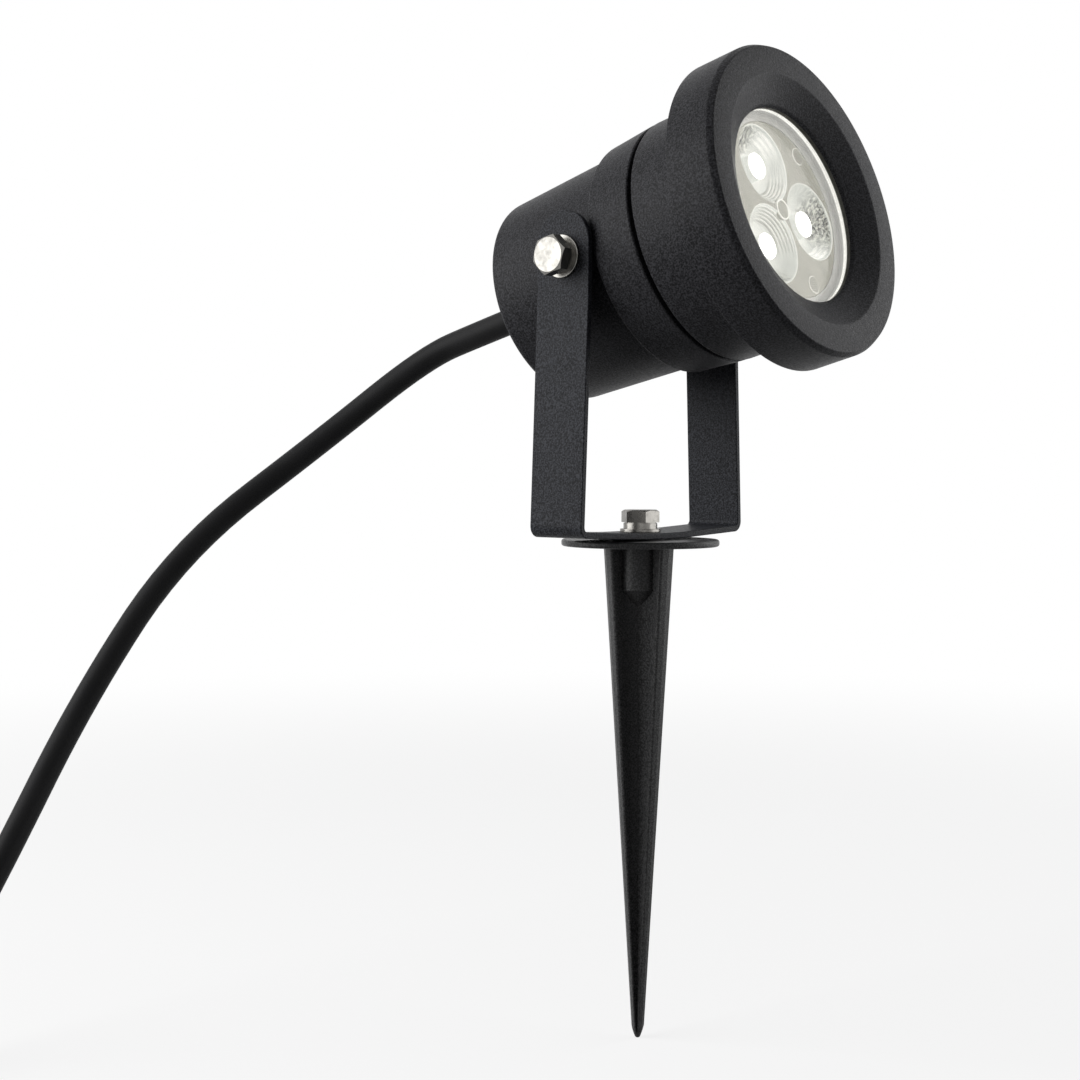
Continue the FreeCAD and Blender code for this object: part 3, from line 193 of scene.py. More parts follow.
def make_cord():
    inside = LAMP @ Vector((0, 0, BOOT_END + CORD_INSIDE))
    route = [tuple(inside), *FREE_ROUTE, *coil_points(), *TAIL_ROUTE]
    line = smooth_line("cord_line", route)
    tube = add_mesh("cord", smooth_line("cord", route, CORD_RADIUS))
    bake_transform(tube, "yoke", "head", start=FREE_ROUTE[6], end=tuple(LAMP @ Vector((0, 0, BOOT_END))))
    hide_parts("cord_lead", "cord_coil", "cord_tail", "cord_inner_end")
    return tube


TIE_ANGLE = math.radians(270)
TIE_WIDTH = 0.008
TIE_THICKNESS = 0.0006
TIE_ROUNDING = 0.003
TIE_SIDE_GAP = 0.0005
TIE_FLAT_GAP = 0.0001
TIE_COLUMNS = 7
ARC_STEPS = 6


def band_section(inner_low, inner_high, outer_radius):
    """Points round a rounded box in the plane of radius and height."""
    points = []
    (r0, z0), (r1, z1) = inner_low, inner_high
    corners = ((r1, z0, -90), (r1, z1, 0), (r0, z1, 90), (r0, z0, 180))
    for r, z, start in corners:
        centre_r = r - outer_radius if r == r1 else r + outer_radius
        centre_z = z - outer_radius if z == z1 else z + outer_radius
        for k in range(ARC_STEPS + 1):
            angle = math.radians(start + 90 / ARC_STEPS * k)
            r_here = centre_r + outer_radius * math.cos(angle)
            points.append((r_here, centre_z + outer_radius * math.sin(angle)))
    return points


def make_tie():
    """A woven band round the turns of the coil."""
    turns_there = []
    turns = 0.5
    while turns < COIL_TURNS:
        turns_there.append(turns)
        turns += 1
    radii = [coil_radius(t) for t in turns_there]
    heights = [coil_height(t) for t in turns_there]
    side = CORD_RADIUS + TIE_SIDE_GAP
    level = CORD_RADIUS + TIE_FLAT_GAP
    low = (min(radii) - side, min(heights) - level)
    high = (max(radii) + side, max(heights) + level)
    mesh = bpy.data.meshes.new("cord_tie_band")
    bm = bmesh.new()

    last = TIE_COLUMNS - 1

    def loop_of(section):
        rows = []
        for r, z in section:
            row = []
            for c in range(TIE_COLUMNS):
                across = (c / last - 0.5) * TIE_WIDTH
                place = Vector((r, across, z))
                turned = Matrix.Rotation(TIE_ANGLE, 4, "Z") @ place
                row.append(bm.verts.new(turned + Vector((COIL_CENTRE[0], COIL_CENTRE[1], 0))))
            rows.append(row)
        return rows

    inner = band_section(low, high, TIE_ROUNDING)
    outer = band_section(
        (low[0] - TIE_THICKNESS, low[1] - TIE_THICKNESS),
        (high[0] + TIE_THICKNESS, high[1] + TIE_THICKNESS),
        TIE_ROUNDING + TIE_THICKNESS,
    )
    inner_rows = loop_of(inner)
    outer_rows = loop_of(outer)
    count = len(inner_rows)
    for i in range(count):
        j = (i + 1) % count
        for c in range(last):
            bm.faces.new((outer_rows[i][c], outer_rows[j][c], outer_rows[j][c + 1], outer_rows[i][c + 1]))
            bm.faces.new((inner_rows[i][c + 1], inner_rows[j][c + 1], inner_rows[j][c], inner_rows[i][c]))
        bm.faces.new((inner_rows[i][0], inner_rows[j][0], outer_rows[j][0], outer_rows[i][0]))
        bm.faces.new((outer_rows[i][last], outer_rows[j][last], inner_rows[j][last], inner_rows[i][last]))
    bmesh.ops.recalc_face_normals(bm, faces=bm.faces)
    bm.to_mesh(mesh)
    bm.free()
    tie = add_mesh("cord_tie_band", mesh)
    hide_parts("cord_tie")
    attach(tie, "yoke")
    return tie


tie = make_tie()
cord = make_cord()

# ---------------------------------------------------------------- optic

# Radii and stations on the lamp's axis are in millimetres here, and angles are in degrees about it
MM = 0.001
OPTIC_RADIUS = 25.55
CUP_TURN = -9.0
CUP_PITCH = 13.75
FACE_Z = 50.0
BOWL_STEPS = 96
BOWL = (
    (11.45, 50.0), (11.33, 49.9), (11.15, 49.6), (10.9, 49.25), (10.6, 48.95), (10.3, 48.6), (9.95, 48.25),
    (9.6, 47.9), (9.3, 47.55), (9.0, 47.25), (8.65, 46.9), (8.3, 46.6), (7.9, 46.25), (7.4, 45.9),
    (6.8, 45.5), (6.1, 45.15), (5.3, 44.85), (4.4, 44.65), (3.3, 44.6),
)
RIDGE_DEPTH = 0.17
RIDGE_RINGS = range(3, 13)
# Sectors of a cup's wall: their middle from the cup's outward line, and their half width
RIDGE_SECTOR = (180, 85)
# The frosted sector also carries a painted dark reflection, and the streak sector a painted highlight streak
FROST_AND_REFLECTION_SECTOR = (22, 75)
HIGHLIGHT_STREAK_SECTOR = (-60, 42)
FROST_AND_REFLECTION_RINGS = range(3, 17)
HIGHLIGHT_STREAK_RINGS = range(4, 12)
OPTIC_SHARP = 32
DOME = ((3.9, 44.3), (3.8, 45.5), (3.74, 47.4), (3.7, 47.9), (3.55, 48.1), (2.9, 48.28), (1.8, 48.36))
POST = ((2.45, 49.35), (2.5, 49.8), (2.62, 50.08), (2.8, 50.13), (2.98, 50.08), (3.1, 49.8), (3.15, 45.0))
PAD = ((2.2, 50.12), (2.45, 50.1), (2.6, 50.0), (2.65, 49.8), (2.65, 49.4))
PAD_PITCH = 22.6
PAD_TURN = 50.0

# Painted glow: emission colours painted on the optic's plastic for the LEDs' light in it, with painted
# highlights and painted shade
NO_GLOW = (0.0, 0.0, 0.0)
SIDE_GLOW = (0.15, 0.155, 0.145)
TOP_GLOW = (1.0, 1.0, 0.97)
DOME_GLOWS = (SIDE_GLOW, SIDE_GLOW, SIDE_GLOW, TOP_GLOW, TOP_GLOW, TOP_GLOW, TOP_GLOW)
PAINTED_FACE_GLOW = (0.29, 0.285, 0.24)
PAINTED_BOWL_GLOW = (0.52, 0.54, 0.50)
PAINTED_HIGHLIGHT_GLOW = (0.92, 0.92, 0.88)
PAINTED_SHADE_GLOW = (0.17, 0.165, 0.125)


def blend_of(first, second, share):
    return tuple(a + (b - a) * share for a, b in zip(first, second))


def near_angle(angle, middle, width):
    """1 at the middle of a sector, falling smoothly to 0 at its sides, in degrees."""
    away = abs((angle - middle + 180) % 360 - 180) / width
    return 0.0 if away >= 1 else (1 - away * away) ** 2


def around(turn, pitch, count=3):
    """Centres and angles of equal places round the lamp's axis."""
    places = []
    for k in range(count):
        angle = math.radians(turn + 360 / count * k)
        places.append((pitch * math.cos(angle), pitch * math.sin(angle), turn + 360 / count * k))
    return places


def lamp_ring(bm, layers, centre, rows, look):
    """Rings of points round a centre; look gives radius change, glow and grain for a ring and an angle."""
    glow, grain = layers
    rings = []
    for row, (radius, station) in enumerate(rows):
        ring = []
        for step in range(BOWL_STEPS):
            angle = 360 * step / BOWL_STEPS
            change, shine, speckle = look(row, angle)
            reach = radius + change
            turn = math.radians(angle)
            vert = bm.verts.new((
                (centre[0] + reach * math.cos(turn)) * MM,
                (centre[1] + reach * math.sin(turn)) * MM,
                station * MM,
            ))
            vert[glow] = (*shine, 1.0)
            vert[grain] = speckle
            ring.append(vert)
        rings.append(ring)
    for inner, outer in zip(rings, rings[1:]):
        for step in range(BOWL_STEPS):
            after = (step + 1) % BOWL_STEPS
            bm.faces.new((inner[step], inner[after], outer[after], outer[step]))
    return rings


def cap(bm, ring):
    """Closes a ring with a fan of faces that meet at its middle."""
    glow = bm.verts.layers.float_color["glow"]
    grain = bm.verts.layers.float["grain"]
    middle = sum((vert.co for vert in ring), Vector()) / len(ring)
    centre = bm.verts.new(middle)
    centre[glow] = ring[0][glow]
    centre[grain] = ring[0][grain]
    for step, vert in enumerate(ring):
        bm.faces.new((centre, vert, ring[(step + 1) % len(ring)]))


def new_optic_mesh():
    bm = bmesh.new()
    layers = (bm.verts.layers.float_color.new("glow"), bm.verts.layers.float.new("grain"))
    return bm, layers


def finish_optic(name, bm, node="triple_optic"):
    bmesh.ops.recalc_face_normals(bm, faces=bm.faces)
    bm.transform(LAMP)
    mesh = bpy.data.meshes.new(name)
    bm.to_mesh(mesh)
    bm.free()
    piece = add_mesh(name, mesh)
    mesh.set_sharp_from_angle(angle=math.radians(OPTIC_SHARP))
    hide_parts(node)
    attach(piece, "head")
    return piece


def bowl_look(cup):
    """A cup's wall, its glow painted: ridged towards the lamp's axis, with alternate ridge rings painted
    bright and dim as painted highlights and painted shade, and frosted on the side away from it, where a
    painted dark reflection lies. A painted highlight streak lies on one side, and the ring next to the rim
    is a painted highlight.
    """

    def look(row, angle):
        own = angle - cup
        inner_side = near_angle(own, *RIDGE_SECTOR)
        change = 0.0
        depth = row / (len(BOWL) - 1)
        floor_share = 0.55 * max(0.0, depth * 2.2 - 1.2)
        # Painted light: the wall's glow is painted brighter towards its floor and on one side
        shine = blend_of(PAINTED_BOWL_GLOW, PAINTED_HIGHLIGHT_GLOW, floor_share + 0.18 * near_angle(own, 240, 80))
        if row in RIDGE_RINGS:
            up = row % 2
            change = RIDGE_DEPTH * inner_side * (1 if up else -1)
            # Alternate ridge rings carry a painted highlight and painted shade
            shine = blend_of(shine, PAINTED_HIGHLIGHT_GLOW if up else PAINTED_SHADE_GLOW, inner_side * 0.75)
        frost_and_painted_reflection = near_angle(own, *FROST_AND_REFLECTION_SECTOR) if row in FROST_AND_REFLECTION_RINGS else 0.0
        # Painted dark reflection over the frosted sector
        shine = blend_of(shine, PAINTED_SHADE_GLOW, 0.6 * frost_and_painted_reflection)
        highlight_streak = near_angle(own, *HIGHLIGHT_STREAK_SECTOR) if row in HIGHLIGHT_STREAK_RINGS else 0.0
        # Painted highlight streak
        shine = blend_of(shine, PAINTED_HIGHLIGHT_GLOW, highlight_streak * (0.9 if row % 3 else 0.35))
        # The face ring takes the face's painted glow, the next ring a painted highlight
        if row == 0:
            shine = PAINTED_FACE_GLOW
        elif row == 1:
            shine = blend_of(shine, PAINTED_HIGHLIGHT_GLOW, 0.7)
        return change, shine, frost_and_painted_reflection

    return look


def make_optic():
    bm, layers = new_optic_mesh()
    face_edges = []

    def edges_of(ring):
        for step, vert in enumerate(ring):
            edge = bm.edges.get((vert, ring[(step + 1) % len(ring)]))
            face_edges.append(edge)

    for x, y, cup in around(CUP_TURN, CUP_PITCH):
        rings = lamp_ring(bm, layers, (x, y), BOWL, bowl_look(cup))
        edges_of(rings[0])
        cap(bm, rings[-1])
    # The optic's face and rim carry a painted glow
    rim = ((OPTIC_RADIUS - 0.2, FACE_Z), (OPTIC_RADIUS, FACE_Z - 0.2), (OPTIC_RADIUS, OPTIC_BACK / MM))
    rings = lamp_ring(bm, layers, (0, 0), rim, lambda row, angle: (0.0, PAINTED_FACE_GLOW, 0.0))
    edges_of(rings[0])
    cap(bm, rings[-1])
    bmesh.ops.triangle_fill(bm, use_beauty=True, edges=face_edges)
    return finish_optic("optic_body", bm)


def make_turned(name, centres, rows, look):
    bm, layers = new_optic_mesh()
    for x, y, _ in centres:
        rings = lamp_ring(bm, layers, (x, y), rows, look)
        cap(bm, rings[0])
        cap(bm, rings[-1])
    return finish_optic(name, bm)


def lit(*shares):
    """A look whose painted glow goes from painted shade to a painted highlight, ring by ring."""
    return lambda row, angle: (0.0, blend_of(PAINTED_SHADE_GLOW, PAINTED_HIGHLIGHT_GLOW, shares[row]), 0.0)


SPIGOT_END = 16.7
RING_START = 24.7
BEZEL_START = 43.7
BEZEL_FACE = 58.7
LIP_BACK = 53.8
CHAMBER = 29.0
CASTING_STEPS = 192
CASTING_SHARP = 24
# Corners of the casting's section: radius, station and how far the corner is rounded
CASTING = (
    (CHAMBER, SPIGOT_END, 0), (31.0, SPIGOT_END, 0), (31.0, RING_START, 0), (35.8, RING_START, 0.5),
    (35.8, BEZEL_START, 0.5), (44.75, BEZEL_START, 0.5), (44.75, BEZEL_FACE - 1.6, 0.3),
    (43.85, BEZEL_FACE, 0.3), (36.0, BEZEL_FACE, 0.35), (28.8, 54.75, 0.1), (28.55, 54.55, 0.0),
    (28.4, 54.35, 0.05), (27.95, LIP_BACK, 0.0), (CHAMBER, LIP_BACK, 0),
)


def rounded(corners, steps=4):
    """The closed outline of corners (radius, station, rounding), with an arc at each rounded one."""
    outline = []
    for k, (r, z, reach) in enumerate(corners):
        here = Vector((r, z))
        if not reach:
            outline.append(here)
            continue
        before = Vector(corners[k - 1][:2])
        after = Vector(corners[(k + 1) % len(corners)][:2])
        start = here + (before - here).normalized() * reach
        end = here + (after - here).normalized() * reach
        for step in range(steps + 1):
            share = step / steps
            outline.append(start.lerp(here, share).lerp(here.lerp(end, share), share))
    return outline


def make_casting():
    """The lamp's front casting, with its deep cone and the stepped lip round the glass."""
    bm = bmesh.new()
    outline = rounded(CASTING)
    rings = []
    for step in range(CASTING_STEPS):
        turn = 2 * math.pi * step / CASTING_STEPS
        rings.append([
            bm.verts.new((r * math.cos(turn) * MM, r * math.sin(turn) * MM, z * MM)) for r, z in outline
        ])
    for step, ring in enumerate(rings):
        other = rings[(step + 1) % CASTING_STEPS]
        for k in range(len(outline)):
            after = (k + 1) % len(outline)
            bm.faces.new((ring[k], ring[after], other[after], other[k]))
    bmesh.ops.recalc_face_normals(bm, faces=bm.faces)
    bm.transform(LAMP)
    mesh = bpy.data.meshes.new("front_casting")
    bm.to_mesh(mesh)
    bm.free()
    piece = add_mesh("front_casting", mesh)
    mesh.set_sharp_from_angle(angle=math.radians(CASTING_SHARP))
    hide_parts("front_bezel")
    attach(piece, "head")
    return piece


GASKET = (
    (28.0, 53.3), (28.0, 53.65), (28.1, 53.8), (28.85, 53.8), (28.85, 49.65), (25.65, 49.65),
    (25.65, 50.15), (28.12, 50.15), (28.12, 51.3), (28.12, 51.5), (28.12, 52.45), (28.12, 52.6),
    (28.12, 53.25),
)
# Painted glow by row: bright at 51.5 to 52.45, none at the front, which is left dark as painted shade
GASKET_GLOWS = (0.0, 0.0, 0.0, 0.0, 0.0, 0.1, 0.45, 0.3, 0.35, 1.0, 1.0, 0.0, 0.0)


def make_gasket():
    """The channel round the glass, its glow painted: a bright line of its wall for the light that it
    carries, and no glow on its front part, left dark as painted shade under the lip.
    """
    bm, layers = new_optic_mesh()

    def look(row, angle):
        return 0.0, blend_of(NO_GLOW, PAINTED_HIGHLIGHT_GLOW, GASKET_GLOWS[row]), 0.0

    rings = lamp_ring(bm, layers, (0, 0), GASKET, look)
    for step in range(BOWL_STEPS):
        after = (step + 1) % BOWL_STEPS
        bm.faces.new((rings[-1][step], rings[-1][after], rings[0][after], rings[0][step]))
    return finish_optic("cover_gasket", bm, "glass_gasket")


casting = make_casting()
gasket = make_gasket()
optic = make_optic()
# The domes' glow is painted, brightest on their tops, where the LEDs shine through
optic_domes = make_turned(
    "optic_domes", around(CUP_TURN, CUP_PITCH), DOME, lambda row, angle: (0.0, DOME_GLOWS[row], 0.0)
)
# The post's and pads' rings are painted bright and dim: painted highlights and painted shade
optic_post = make_turned("optic_post", [(0, 0, 0)], POST, lit(0.3, 0.2, 0.9, 1.0, 0.9, 0.1, 0.0))
optic_pads = make_turned("optic_pads", around(PAD_TURN, PAD_PITCH), PAD, lit(0.15, 0.75, 0.7, 0.0, 0.0))

# ---------------------------------------------------------------- materials


class Shader:
    """A node material being put together."""

    def __init__(self, name):
        self.material = bpy.data.materials.new(name)
        self.material.use_nodes = True
        self.tree = self.material.node_tree
        self.tree.nodes.clear()
        self.output = self.add("ShaderNodeOutputMaterial")
        self.place = self.add("ShaderNodeTexCoord").outputs["Object"]

    def add(self, kind, **settings):
        node = self.tree.nodes.new(kind)
        for key, value in settings.items():
            setattr(node, key, value)
        return node

    def link(self, source, target):
        self.tree.links.new(source, target)

    def principled(self, **values):
        node = self.add("ShaderNodeBsdfPrincipled")
        for key, value in values.items():
            node.inputs[key.replace("_", " ")].default_value = value
        self.link(node.outputs[0], self.output.inputs["Surface"])
        return node

    def stretched(self, x, y, z):
        node = self.add("ShaderNodeMapping")
        node.inputs["Scale"].default_value = (x, y, z)
        self.link(self.place, node.inputs["Vector"])
        return node.outputs[0]

    def noise(self, scale, detail=2.0, roughness=0.5, vector=None):
        node = self.add("ShaderNodeTexNoise")
        node.inputs["Scale"].default_value = scale
        node.inputs["Detail"].default_value = detail
        node.inputs["Roughness"].default_value = roughness
        self.link(vector or self.place, node.inputs["Vector"])
        return node.outputs["Fac"]

    def span(self, value, low, high, to_low=0.0, to_high=1.0):
        node = self.add("ShaderNodeMapRange")
        node.inputs["From Min"].default_value = low
        node.inputs["From Max"].default_value = high
        node.inputs["To Min"].default_value = to_low
        node.inputs["To Max"].default_value = to_high
        self.link(value, node.inputs["Value"])
        return node.outputs[0]

    def math(self, operation, first, second):
        node = self.add("ShaderNodeMath", operation=operation)
        for socket, value in zip(node.inputs, (first, second)):
            if isinstance(value, (int, float)):
                socket.default_value = value
            else:
                self.link(value, socket)
        return node.outputs[0]

    def ramp(self, value, *stops):
        node = self.add("ShaderNodeValToRGB")
        elements = node.color_ramp.elements
        while len(elements) < len(stops):
            elements.new(0.5)
        for element, (position, colour) in zip(elements, stops):
            element.position = position
            element.color = (*colour, 1.0)
        self.link(value, node.inputs["Fac"])
        return node.outputs["Color"]

    def bump(self, height, strength, distance, normal=None):
        node = self.add("ShaderNodeBump")
        node.inputs["Strength"].default_value = strength
        node.inputs["Distance"].default_value = distance
        self.link(height, node.inputs["Height"])
        if normal is not None:
            self.link(normal, node.inputs["Normal"])
        return node.outputs[0]


def shade_of(colour, factor):
    return tuple(min(1.0, channel * factor) for channel in colour)


def powder_coat(name, colour, roughness, grain=1150.0, depth=0.00012, specular=0.055):
    """A grained coat: speckled shade, a leathery bump and a slightly uneven gloss."""
    s = Shader(name)
    body = s.principled(Roughness=roughness, Specular_IOR_Level=specular)
    fine = s.noise(grain * 1.8, 2.0, 0.6)
    leather = s.noise(grain, 2.0, 0.55)
    broad = s.noise(45.0, 2.0)
    speckle = s.math("ADD", s.math("MULTIPLY", fine, 0.85), s.math("MULTIPLY", leather, 0.15))
    mixed = s.math("ADD", s.math("MULTIPLY", speckle, 0.95), s.math("MULTIPLY", broad, 0.05))
    tone = s.ramp(mixed, (0.41, shade_of(colour, 0.35)), (0.5, colour), (0.59, shade_of(colour, 2.0)))
    s.link(tone, body.inputs["Base Color"])
    s.link(s.span(leather, 0.3, 0.7, roughness - 0.07, roughness + 0.07), body.inputs["Roughness"])
    peel = s.bump(leather, 0.5, depth)
    s.link(s.bump(fine, 1.0, depth * 0.6, peel), body.inputs["Normal"])
    return s.material


def bright_metal(name, colour, roughness, axis):
    """Bright steel with turning marks round its own axis and small stains."""
    s = Shader(name)
    body = s.principled(Metallic=1.0, Roughness=roughness)
    stretch = [9000.0, 9000.0, 9000.0]
    stretch[axis] = 500.0
    marks = s.noise(1.0, 2.0, 0.6, s.stretched(*stretch))
    stains = s.noise(420.0, 3.0, 0.6)
    tone = s.ramp(stains, (0.3, shade_of(colour, 0.74)), (0.52, colour), (0.7, shade_of(colour, 1.12)))
    s.link(tone, body.inputs["Base Color"])
    s.link(s.span(stains, 0.3, 0.7, roughness + 0.1, roughness - 0.05), body.inputs["Roughness"])
    s.link(s.bump(marks, 0.16, 0.00002), body.inputs["Normal"])
    return s.material


def rubber(name, colour, roughness, grain=1500.0, depth=0.00004, specular=0.3):
    """Matt rubber: a fine grain and a slightly worn gloss."""
    s = Shader(name)
    body = s.principled(Roughness=roughness, Specular_IOR_Level=specular)
    fine = s.noise(grain, 4.0, 0.6)
    worn = s.noise(60.0, 3.0)
    tone = s.ramp(worn, (0.3, shade_of(colour, 0.8)), (0.7, shade_of(colour, 1.3)))
    s.link(tone, body.inputs["Base Color"])
    s.link(s.span(worn, 0.3, 0.7, roughness - 0.07, roughness + 0.08), body.inputs["Roughness"])
    s.link(s.bump(fine, 0.3, depth), body.inputs["Normal"])
    return s.material


def woven(name, colour):
    """A woven band: crossed threads."""
    s = Shader(name)
    body = s.principled(Roughness=0.9, Specular_IOR_Level=0.2)
    warp = s.add("ShaderNodeTexWave", bands_direction="X")
    weft = s.add("ShaderNodeTexWave", bands_direction="Z")
    for wave in (warp, weft):
        wave.inputs["Scale"].default_value = 420.0
        wave.inputs["Distortion"].default_value = 1.2
        s.link(s.place, wave.inputs["Vector"])
    threads = s.math("MAXIMUM", warp.outputs["Fac"], weft.outputs["Fac"])
    tone = s.ramp(threads, (0.2, shade_of(colour, 0.5)), (0.9, shade_of(colour, 1.7)))
    s.link(tone, body.inputs["Base Color"])
    s.link(s.bump(threads, 0.7, 0.0002), body.inputs["Normal"])
    return s.material


def plastic(name, colour, roughness, grain=900.0):
    """Moulded plastic or solder mask, faintly mottled."""
    s = Shader(name)
    body = s.principled(Roughness=roughness, Specular_IOR_Level=0.4)
    fine = s.noise(grain, 3.0)
    tone = s.ramp(fine, (0.3, shade_of(colour, 0.88)), (0.7, shade_of(colour, 1.1)))
    s.link(tone, body.inputs["Base Color"])
    s.link(s.bump(fine, 0.2, 0.00003), body.inputs["Normal"])
    return s.material


def clear_cover(name):
    """Clear glass with a faint warm tint and a few specks of dust."""
    s = Shader(name)
    through = s.add("ShaderNodeBsdfTransparent")
    through.inputs["Color"].default_value = (0.985, 0.98, 0.965, 1.0)
    gloss = s.add("ShaderNodeBsdfGlossy")
    gloss.inputs["Roughness"].default_value = 0.03
    haze = s.add("ShaderNodeBsdfDiffuse")
    haze.inputs["Color"].default_value = (0.86, 0.88, 0.84, 1.0)
    edge = s.add("ShaderNodeLayerWeight").outputs["Facing"]
    clear = s.add("ShaderNodeMixShader")
    s.link(s.span(s.math("POWER", edge, 5.0), 0.0, 1.0, 0.015, 0.45), clear.inputs["Fac"])
    s.link(through.outputs[0], clear.inputs[1])
    s.link(gloss.outputs[0], clear.inputs[2])
    dusty = s.add("ShaderNodeMixShader")
    s.link(s.span(s.noise(700.0, 4.0), 0.62, 0.9, 0.015, 0.10), dusty.inputs["Fac"])
    s.link(clear.outputs[0], dusty.inputs[1])
    s.link(haze.outputs[0], dusty.inputs[2])
    s.link(dusty.outputs[0], s.output.inputs["Surface"])
    return s.material


def milky(name, colour, glow, roughness=0.25, grain=500.0, depth=0.00003):
    """Moulded lens plastic, lit from inside."""
    s = Shader(name)
    body = s.principled(Roughness=roughness, Specular_IOR_Level=0.5)
    cloud = s.noise(grain, 3.0, 0.55)
    tone = s.ramp(cloud, (0.3, shade_of(colour, 0.86)), (0.7, shade_of(colour, 1.06)))
    s.link(tone, body.inputs["Base Color"])
    s.link(tone, body.inputs["Emission Color"])
    body.inputs["Emission Strength"].default_value = glow
    s.link(s.bump(cloud, 0.25, depth), body.inputs["Normal"])
    return s.material


def moulded_optic(name, glow, lines=0.0):
    """Clear moulded plastic over the lit wells: the vertices' painted glow, clouded, with a painted dark
    reflection speckled in by their grain.
    """
    s = Shader(name)
    body = s.principled(Roughness=0.2, Specular_IOR_Level=0.06)
    cloud = s.noise(330.0, 3.0, 0.55)
    shine = s.add("ShaderNodeAttribute", attribute_name="glow")
    grain = s.add("ShaderNodeAttribute", attribute_name="grain")
    frost_and_painted_reflection = s.noise(900.0, 3.0, 0.75)
    # Painted dark reflection: the speckle dims glow and colour where the grain attribute marks frost
    painted_dark_reflection = s.math("MULTIPLY", grain.outputs["Fac"], s.span(frost_and_painted_reflection, 0.42, 0.58, 0.95, -0.55))
    level = s.math("MAXIMUM", s.math("SUBTRACT", s.span(cloud, 0.3, 0.7, 0.92, 1.06), painted_dark_reflection), 0.05)
    tinted = s.add("ShaderNodeVectorMath", operation="SCALE")
    s.link(shine.outputs["Color"], tinted.inputs[0])
    s.link(level, tinted.inputs["Scale"])
    s.link(tinted.outputs[0], body.inputs["Emission Color"])
    body.inputs["Emission Strength"].default_value = glow
    matt = s.add("ShaderNodeVectorMath", operation="SCALE")
    clouded = s.ramp(cloud, (0.3, (0.085, 0.083, 0.078)), (0.7, (0.115, 0.113, 0.107)))
    s.link(clouded, matt.inputs[0])
    s.link(level, matt.inputs["Scale"])
    s.link(matt.outputs[0], body.inputs["Base Color"])
    normal = s.bump(s.math("MULTIPLY", frost_and_painted_reflection, grain.outputs["Fac"]), 0.6, 0.0001)
    if lines:
        along = s.add("ShaderNodeVectorMath", operation="DOT_PRODUCT")
        along.inputs[1].default_value = (0, math.sin(TILT), math.cos(TILT))
        s.link(s.place, along.inputs[0])
        wave = s.math("SINE", s.math("MULTIPLY", along.outputs["Value"], 2 * math.pi / lines), 0.0)
        normal = s.bump(wave, 0.5, 0.00008, normal)
    s.link(normal, body.inputs["Normal"])
    return s.material


MATERIALS = {
    "lamp_coat": powder_coat("lamp_coat", (0.0225, 0.0225, 0.0248), 0.42),
    "bracket_coat": powder_coat("bracket_coat", (0.0245, 0.0255, 0.0292), 0.42),
    "cast_spike": powder_coat("cast_spike", (0.027, 0.027, 0.0275), 0.36, 1200.0, 0.00014, 0.14),
    "stainless": bright_metal("stainless", (0.20, 0.193, 0.18), 0.27, 2),
    "nickel_brass": bright_metal("nickel_brass", (0.72, 0.67, 0.58), 0.22, 1),
    "bare_aluminium": bright_metal("bare_aluminium", (0.72, 0.72, 0.71), 0.30, 1),
    "dark_sleeve": bright_metal("dark_sleeve", (0.30, 0.29, 0.27), 0.45, 1),
    "cord_rubber": rubber("cord_rubber", (0.014, 0.014, 0.0145), 0.50, specular=0.06),
    "plug_rubber": rubber("plug_rubber", (0.016, 0.016, 0.017), 0.58, 1100.0, 0.00006, 0.07),
    "seal_rubber": rubber("seal_rubber", (0.020, 0.020, 0.021), 0.65),
    "tie_fabric": woven("tie_fabric", (0.035, 0.035, 0.036)),
    # The pale silicone gasket takes the optic's dark colour, painted shade under the lip, with its painted
    # glow
    "pale_silicone": moulded_optic("pale_silicone", 1.0),
    "clear_glass": clear_cover("clear_glass"),
    "clear_optic": moulded_optic("clear_optic", 1.0),
    "led_phosphor": milky("led_phosphor", (1.0, 0.98, 0.90), 3.0),
    "white_board": plastic("white_board", (0.78, 0.78, 0.74), 0.35),
    "green_board": plastic("green_board", (0.04, 0.16, 0.06), 0.35),
    "component_black": plastic("component_black", (0.03, 0.03, 0.032), 0.40),
    "terminal_plastic": plastic("terminal_plastic", (0.62, 0.62, 0.58), 0.35),
    "lead_sheath": plastic("lead_sheath", (0.30, 0.16, 0.08), 0.45),
    "gland_plastic": plastic("gland_plastic", (0.030, 0.030, 0.032), 0.38),
}
PIVOT_STEEL = bright_metal("stainless_side", (0.21, 0.204, 0.19), 0.30, 0)
DOME_PLASTIC = moulded_optic("lit_dome", 4.0)
PAD_PLASTIC = moulded_optic("lined_pad", 1.0, 0.0006)


def dress(piece, material):
    piece.data.materials.clear()
    piece.data.materials.append(material)


def dress_nodes():
    slots = {row["node"]: row["material_slot"] for row in frame["record"]["subparts"]}
    for name, node in NODES.items():
        dress(node, MATERIALS[slots[name]])
    for name in ("pivot_bolts", "pivot_spring_washers", "pivot_plain_washers"):
        dress(NODES[name], PIVOT_STEEL)
    dress(cord, MATERIALS["cord_rubber"])
    dress(tie, MATERIALS["tie_fabric"])
    dress(casting, MATERIALS["lamp_coat"])
    dress(gasket, MATERIALS["pale_silicone"])
    dress(optic, MATERIALS["clear_optic"])
    dress(optic_domes, DOME_PLASTIC)
    dress(optic_post, MATERIALS["clear_optic"])
    dress(optic_pads, PAD_PLASTIC)


dress_nodes()

# ---------------------------------------------------------------- stage

WHITE = (1.0, 1.0, 1.0, 1.0)
LIGHT_AIM = Vector((0, 0, 0.2))


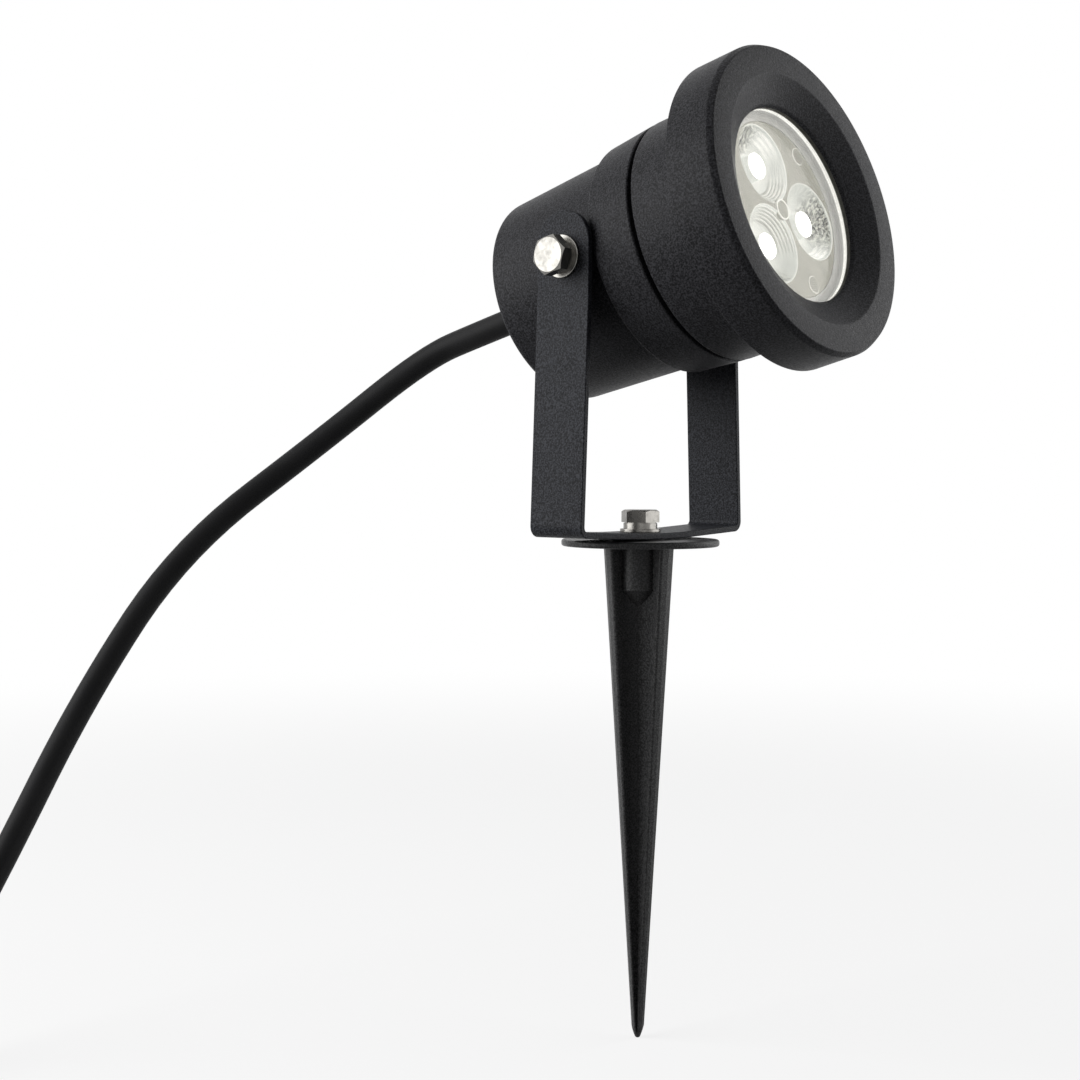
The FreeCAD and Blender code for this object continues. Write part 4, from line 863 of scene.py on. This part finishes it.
def add_light(name, place, size, watts):
    data = bpy.data.lights.new(name, "AREA")
    data.shape = "RECTANGLE"
    data.size, data.size_y = size
    data.energy = watts
    light = bpy.data.objects.new(name, data)
    light.location = place
    light.rotation_mode = "QUATERNION"
    light.rotation_quaternion = (LIGHT_AIM - Vector(place)).to_track_quat("-Z", "Y")
    light.visible_camera = False
    bpy.context.scene.collection.objects.link(light)


def joined(tree, operation, first, second):
    node = tree.nodes.new("ShaderNodeMath")
    node.operation = operation
    for socket, value in zip(node.inputs, (first, second)):
        if isinstance(value, (int, float)):
            socket.default_value = value
        else:
            tree.links.new(value, socket)
    return node.outputs[0]


def seen_white(tree):
    """1 for the rays that show the background: straight, mirrored or through glass."""
    path = tree.nodes.new("ShaderNodeLightPath")
    straight = joined(tree, "MAXIMUM", path.outputs["Is Camera Ray"], path.outputs["Is Glossy Ray"])
    return joined(tree, "MAXIMUM", straight, path.outputs["Is Transmission Ray"])


FILL = 0.06


def make_world():
    world = bpy.data.worlds.new("studio")
    bpy.context.scene.world = world
    world.use_nodes = True
    tree = world.node_tree
    tree.nodes.clear()
    output = tree.nodes.new("ShaderNodeOutputWorld")
    fill = tree.nodes.new("ShaderNodeBackground")
    fill.inputs["Color"].default_value = (0.9, 0.95, 1.0, 1.0)
    fill.inputs["Strength"].default_value = FILL
    shown = tree.nodes.new("ShaderNodeBackground")
    shown.inputs["Color"].default_value = WHITE
    shown.inputs["Strength"].default_value = 1.0
    mix = tree.nodes.new("ShaderNodeMixShader")
    tree.links.new(seen_white(tree), mix.inputs["Fac"])
    tree.links.new(fill.outputs[0], mix.inputs[1])
    tree.links.new(shown.outputs[0], mix.inputs[2])
    tree.links.new(mix.outputs[0], output.inputs["Surface"])


FLOOR_REACH = 12.0
FLOOR_SHADE = 0.95
FLOOR_BOUNCE = 0.30
WHITE_SHARE = 0.80  # of the floor's look near the object; it grows to 1 between these two distances
FADE_START = 0.35
FADE_END = 1.0


def make_floor():
    """A wide pale floor; white covers part of its shade near the object and all of it far away."""
    mesh = bpy.data.meshes.new("floor")
    corners = [(x * FLOOR_REACH, y * FLOOR_REACH, 0) for x, y in ((-1, -1), (1, -1), (1, 1), (-1, 1))]
    mesh.from_pydata(corners, [], [(0, 1, 2, 3)])
    floor = bpy.data.objects.new("floor", mesh)
    bpy.context.scene.collection.objects.link(floor)
    material = bpy.data.materials.new("pale_floor")
    material.use_nodes = True
    tree = material.node_tree
    tree.nodes.clear()
    output = tree.nodes.new("ShaderNodeOutputMaterial")
    matt = tree.nodes.new("ShaderNodeBsdfDiffuse")
    matt.inputs["Color"].default_value = (FLOOR_SHADE, FLOOR_SHADE, FLOOR_SHADE, 1.0)
    bounce = tree.nodes.new("ShaderNodeBsdfDiffuse")
    bounce.inputs["Color"].default_value = (FLOOR_BOUNCE, FLOOR_BOUNCE, FLOOR_BOUNCE, 1.0)
    glow = tree.nodes.new("ShaderNodeEmission")
    glow.inputs["Color"].default_value = WHITE
    glow.inputs["Strength"].default_value = 1.0
    place = tree.nodes.new("ShaderNodeTexCoord").outputs["Object"]
    away = tree.nodes.new("ShaderNodeVectorMath")
    away.operation = "LENGTH"
    tree.links.new(place, away.inputs[0])
    fade = tree.nodes.new("ShaderNodeMapRange")
    fade.interpolation_type = "SMOOTHSTEP"
    spans = (("From Min", FADE_START), ("From Max", FADE_END), ("To Min", WHITE_SHARE), ("To Max", 1.0))
    for socket, value in spans:
        fade.inputs[socket].default_value = value
    tree.links.new(away.outputs["Value"], fade.inputs["Value"])
    pale = tree.nodes.new("ShaderNodeMixShader")
    tree.links.new(fade.outputs[0], pale.inputs["Fac"])
    tree.links.new(matt.outputs[0], pale.inputs[1])
    tree.links.new(glow.outputs[0], pale.inputs[2])
    mix = tree.nodes.new("ShaderNodeMixShader")
    tree.links.new(seen_white(tree), mix.inputs["Fac"])
    tree.links.new(bounce.outputs[0], mix.inputs[1])
    tree.links.new(pale.outputs[0], mix.inputs[2])
    tree.links.new(mix.outputs[0], output.inputs["Surface"])
    floor.data.materials.append(material)


make_world()
make_floor()
add_light("left_box", (-0.78, 0.63, 0.50), (0.95, 0.95), 14.0)
add_light("right_box", (0.74, -0.67, 0.42), (1.25, 0.80), 7.5)
bpy.context.scene.view_settings.view_transform = "Standard"
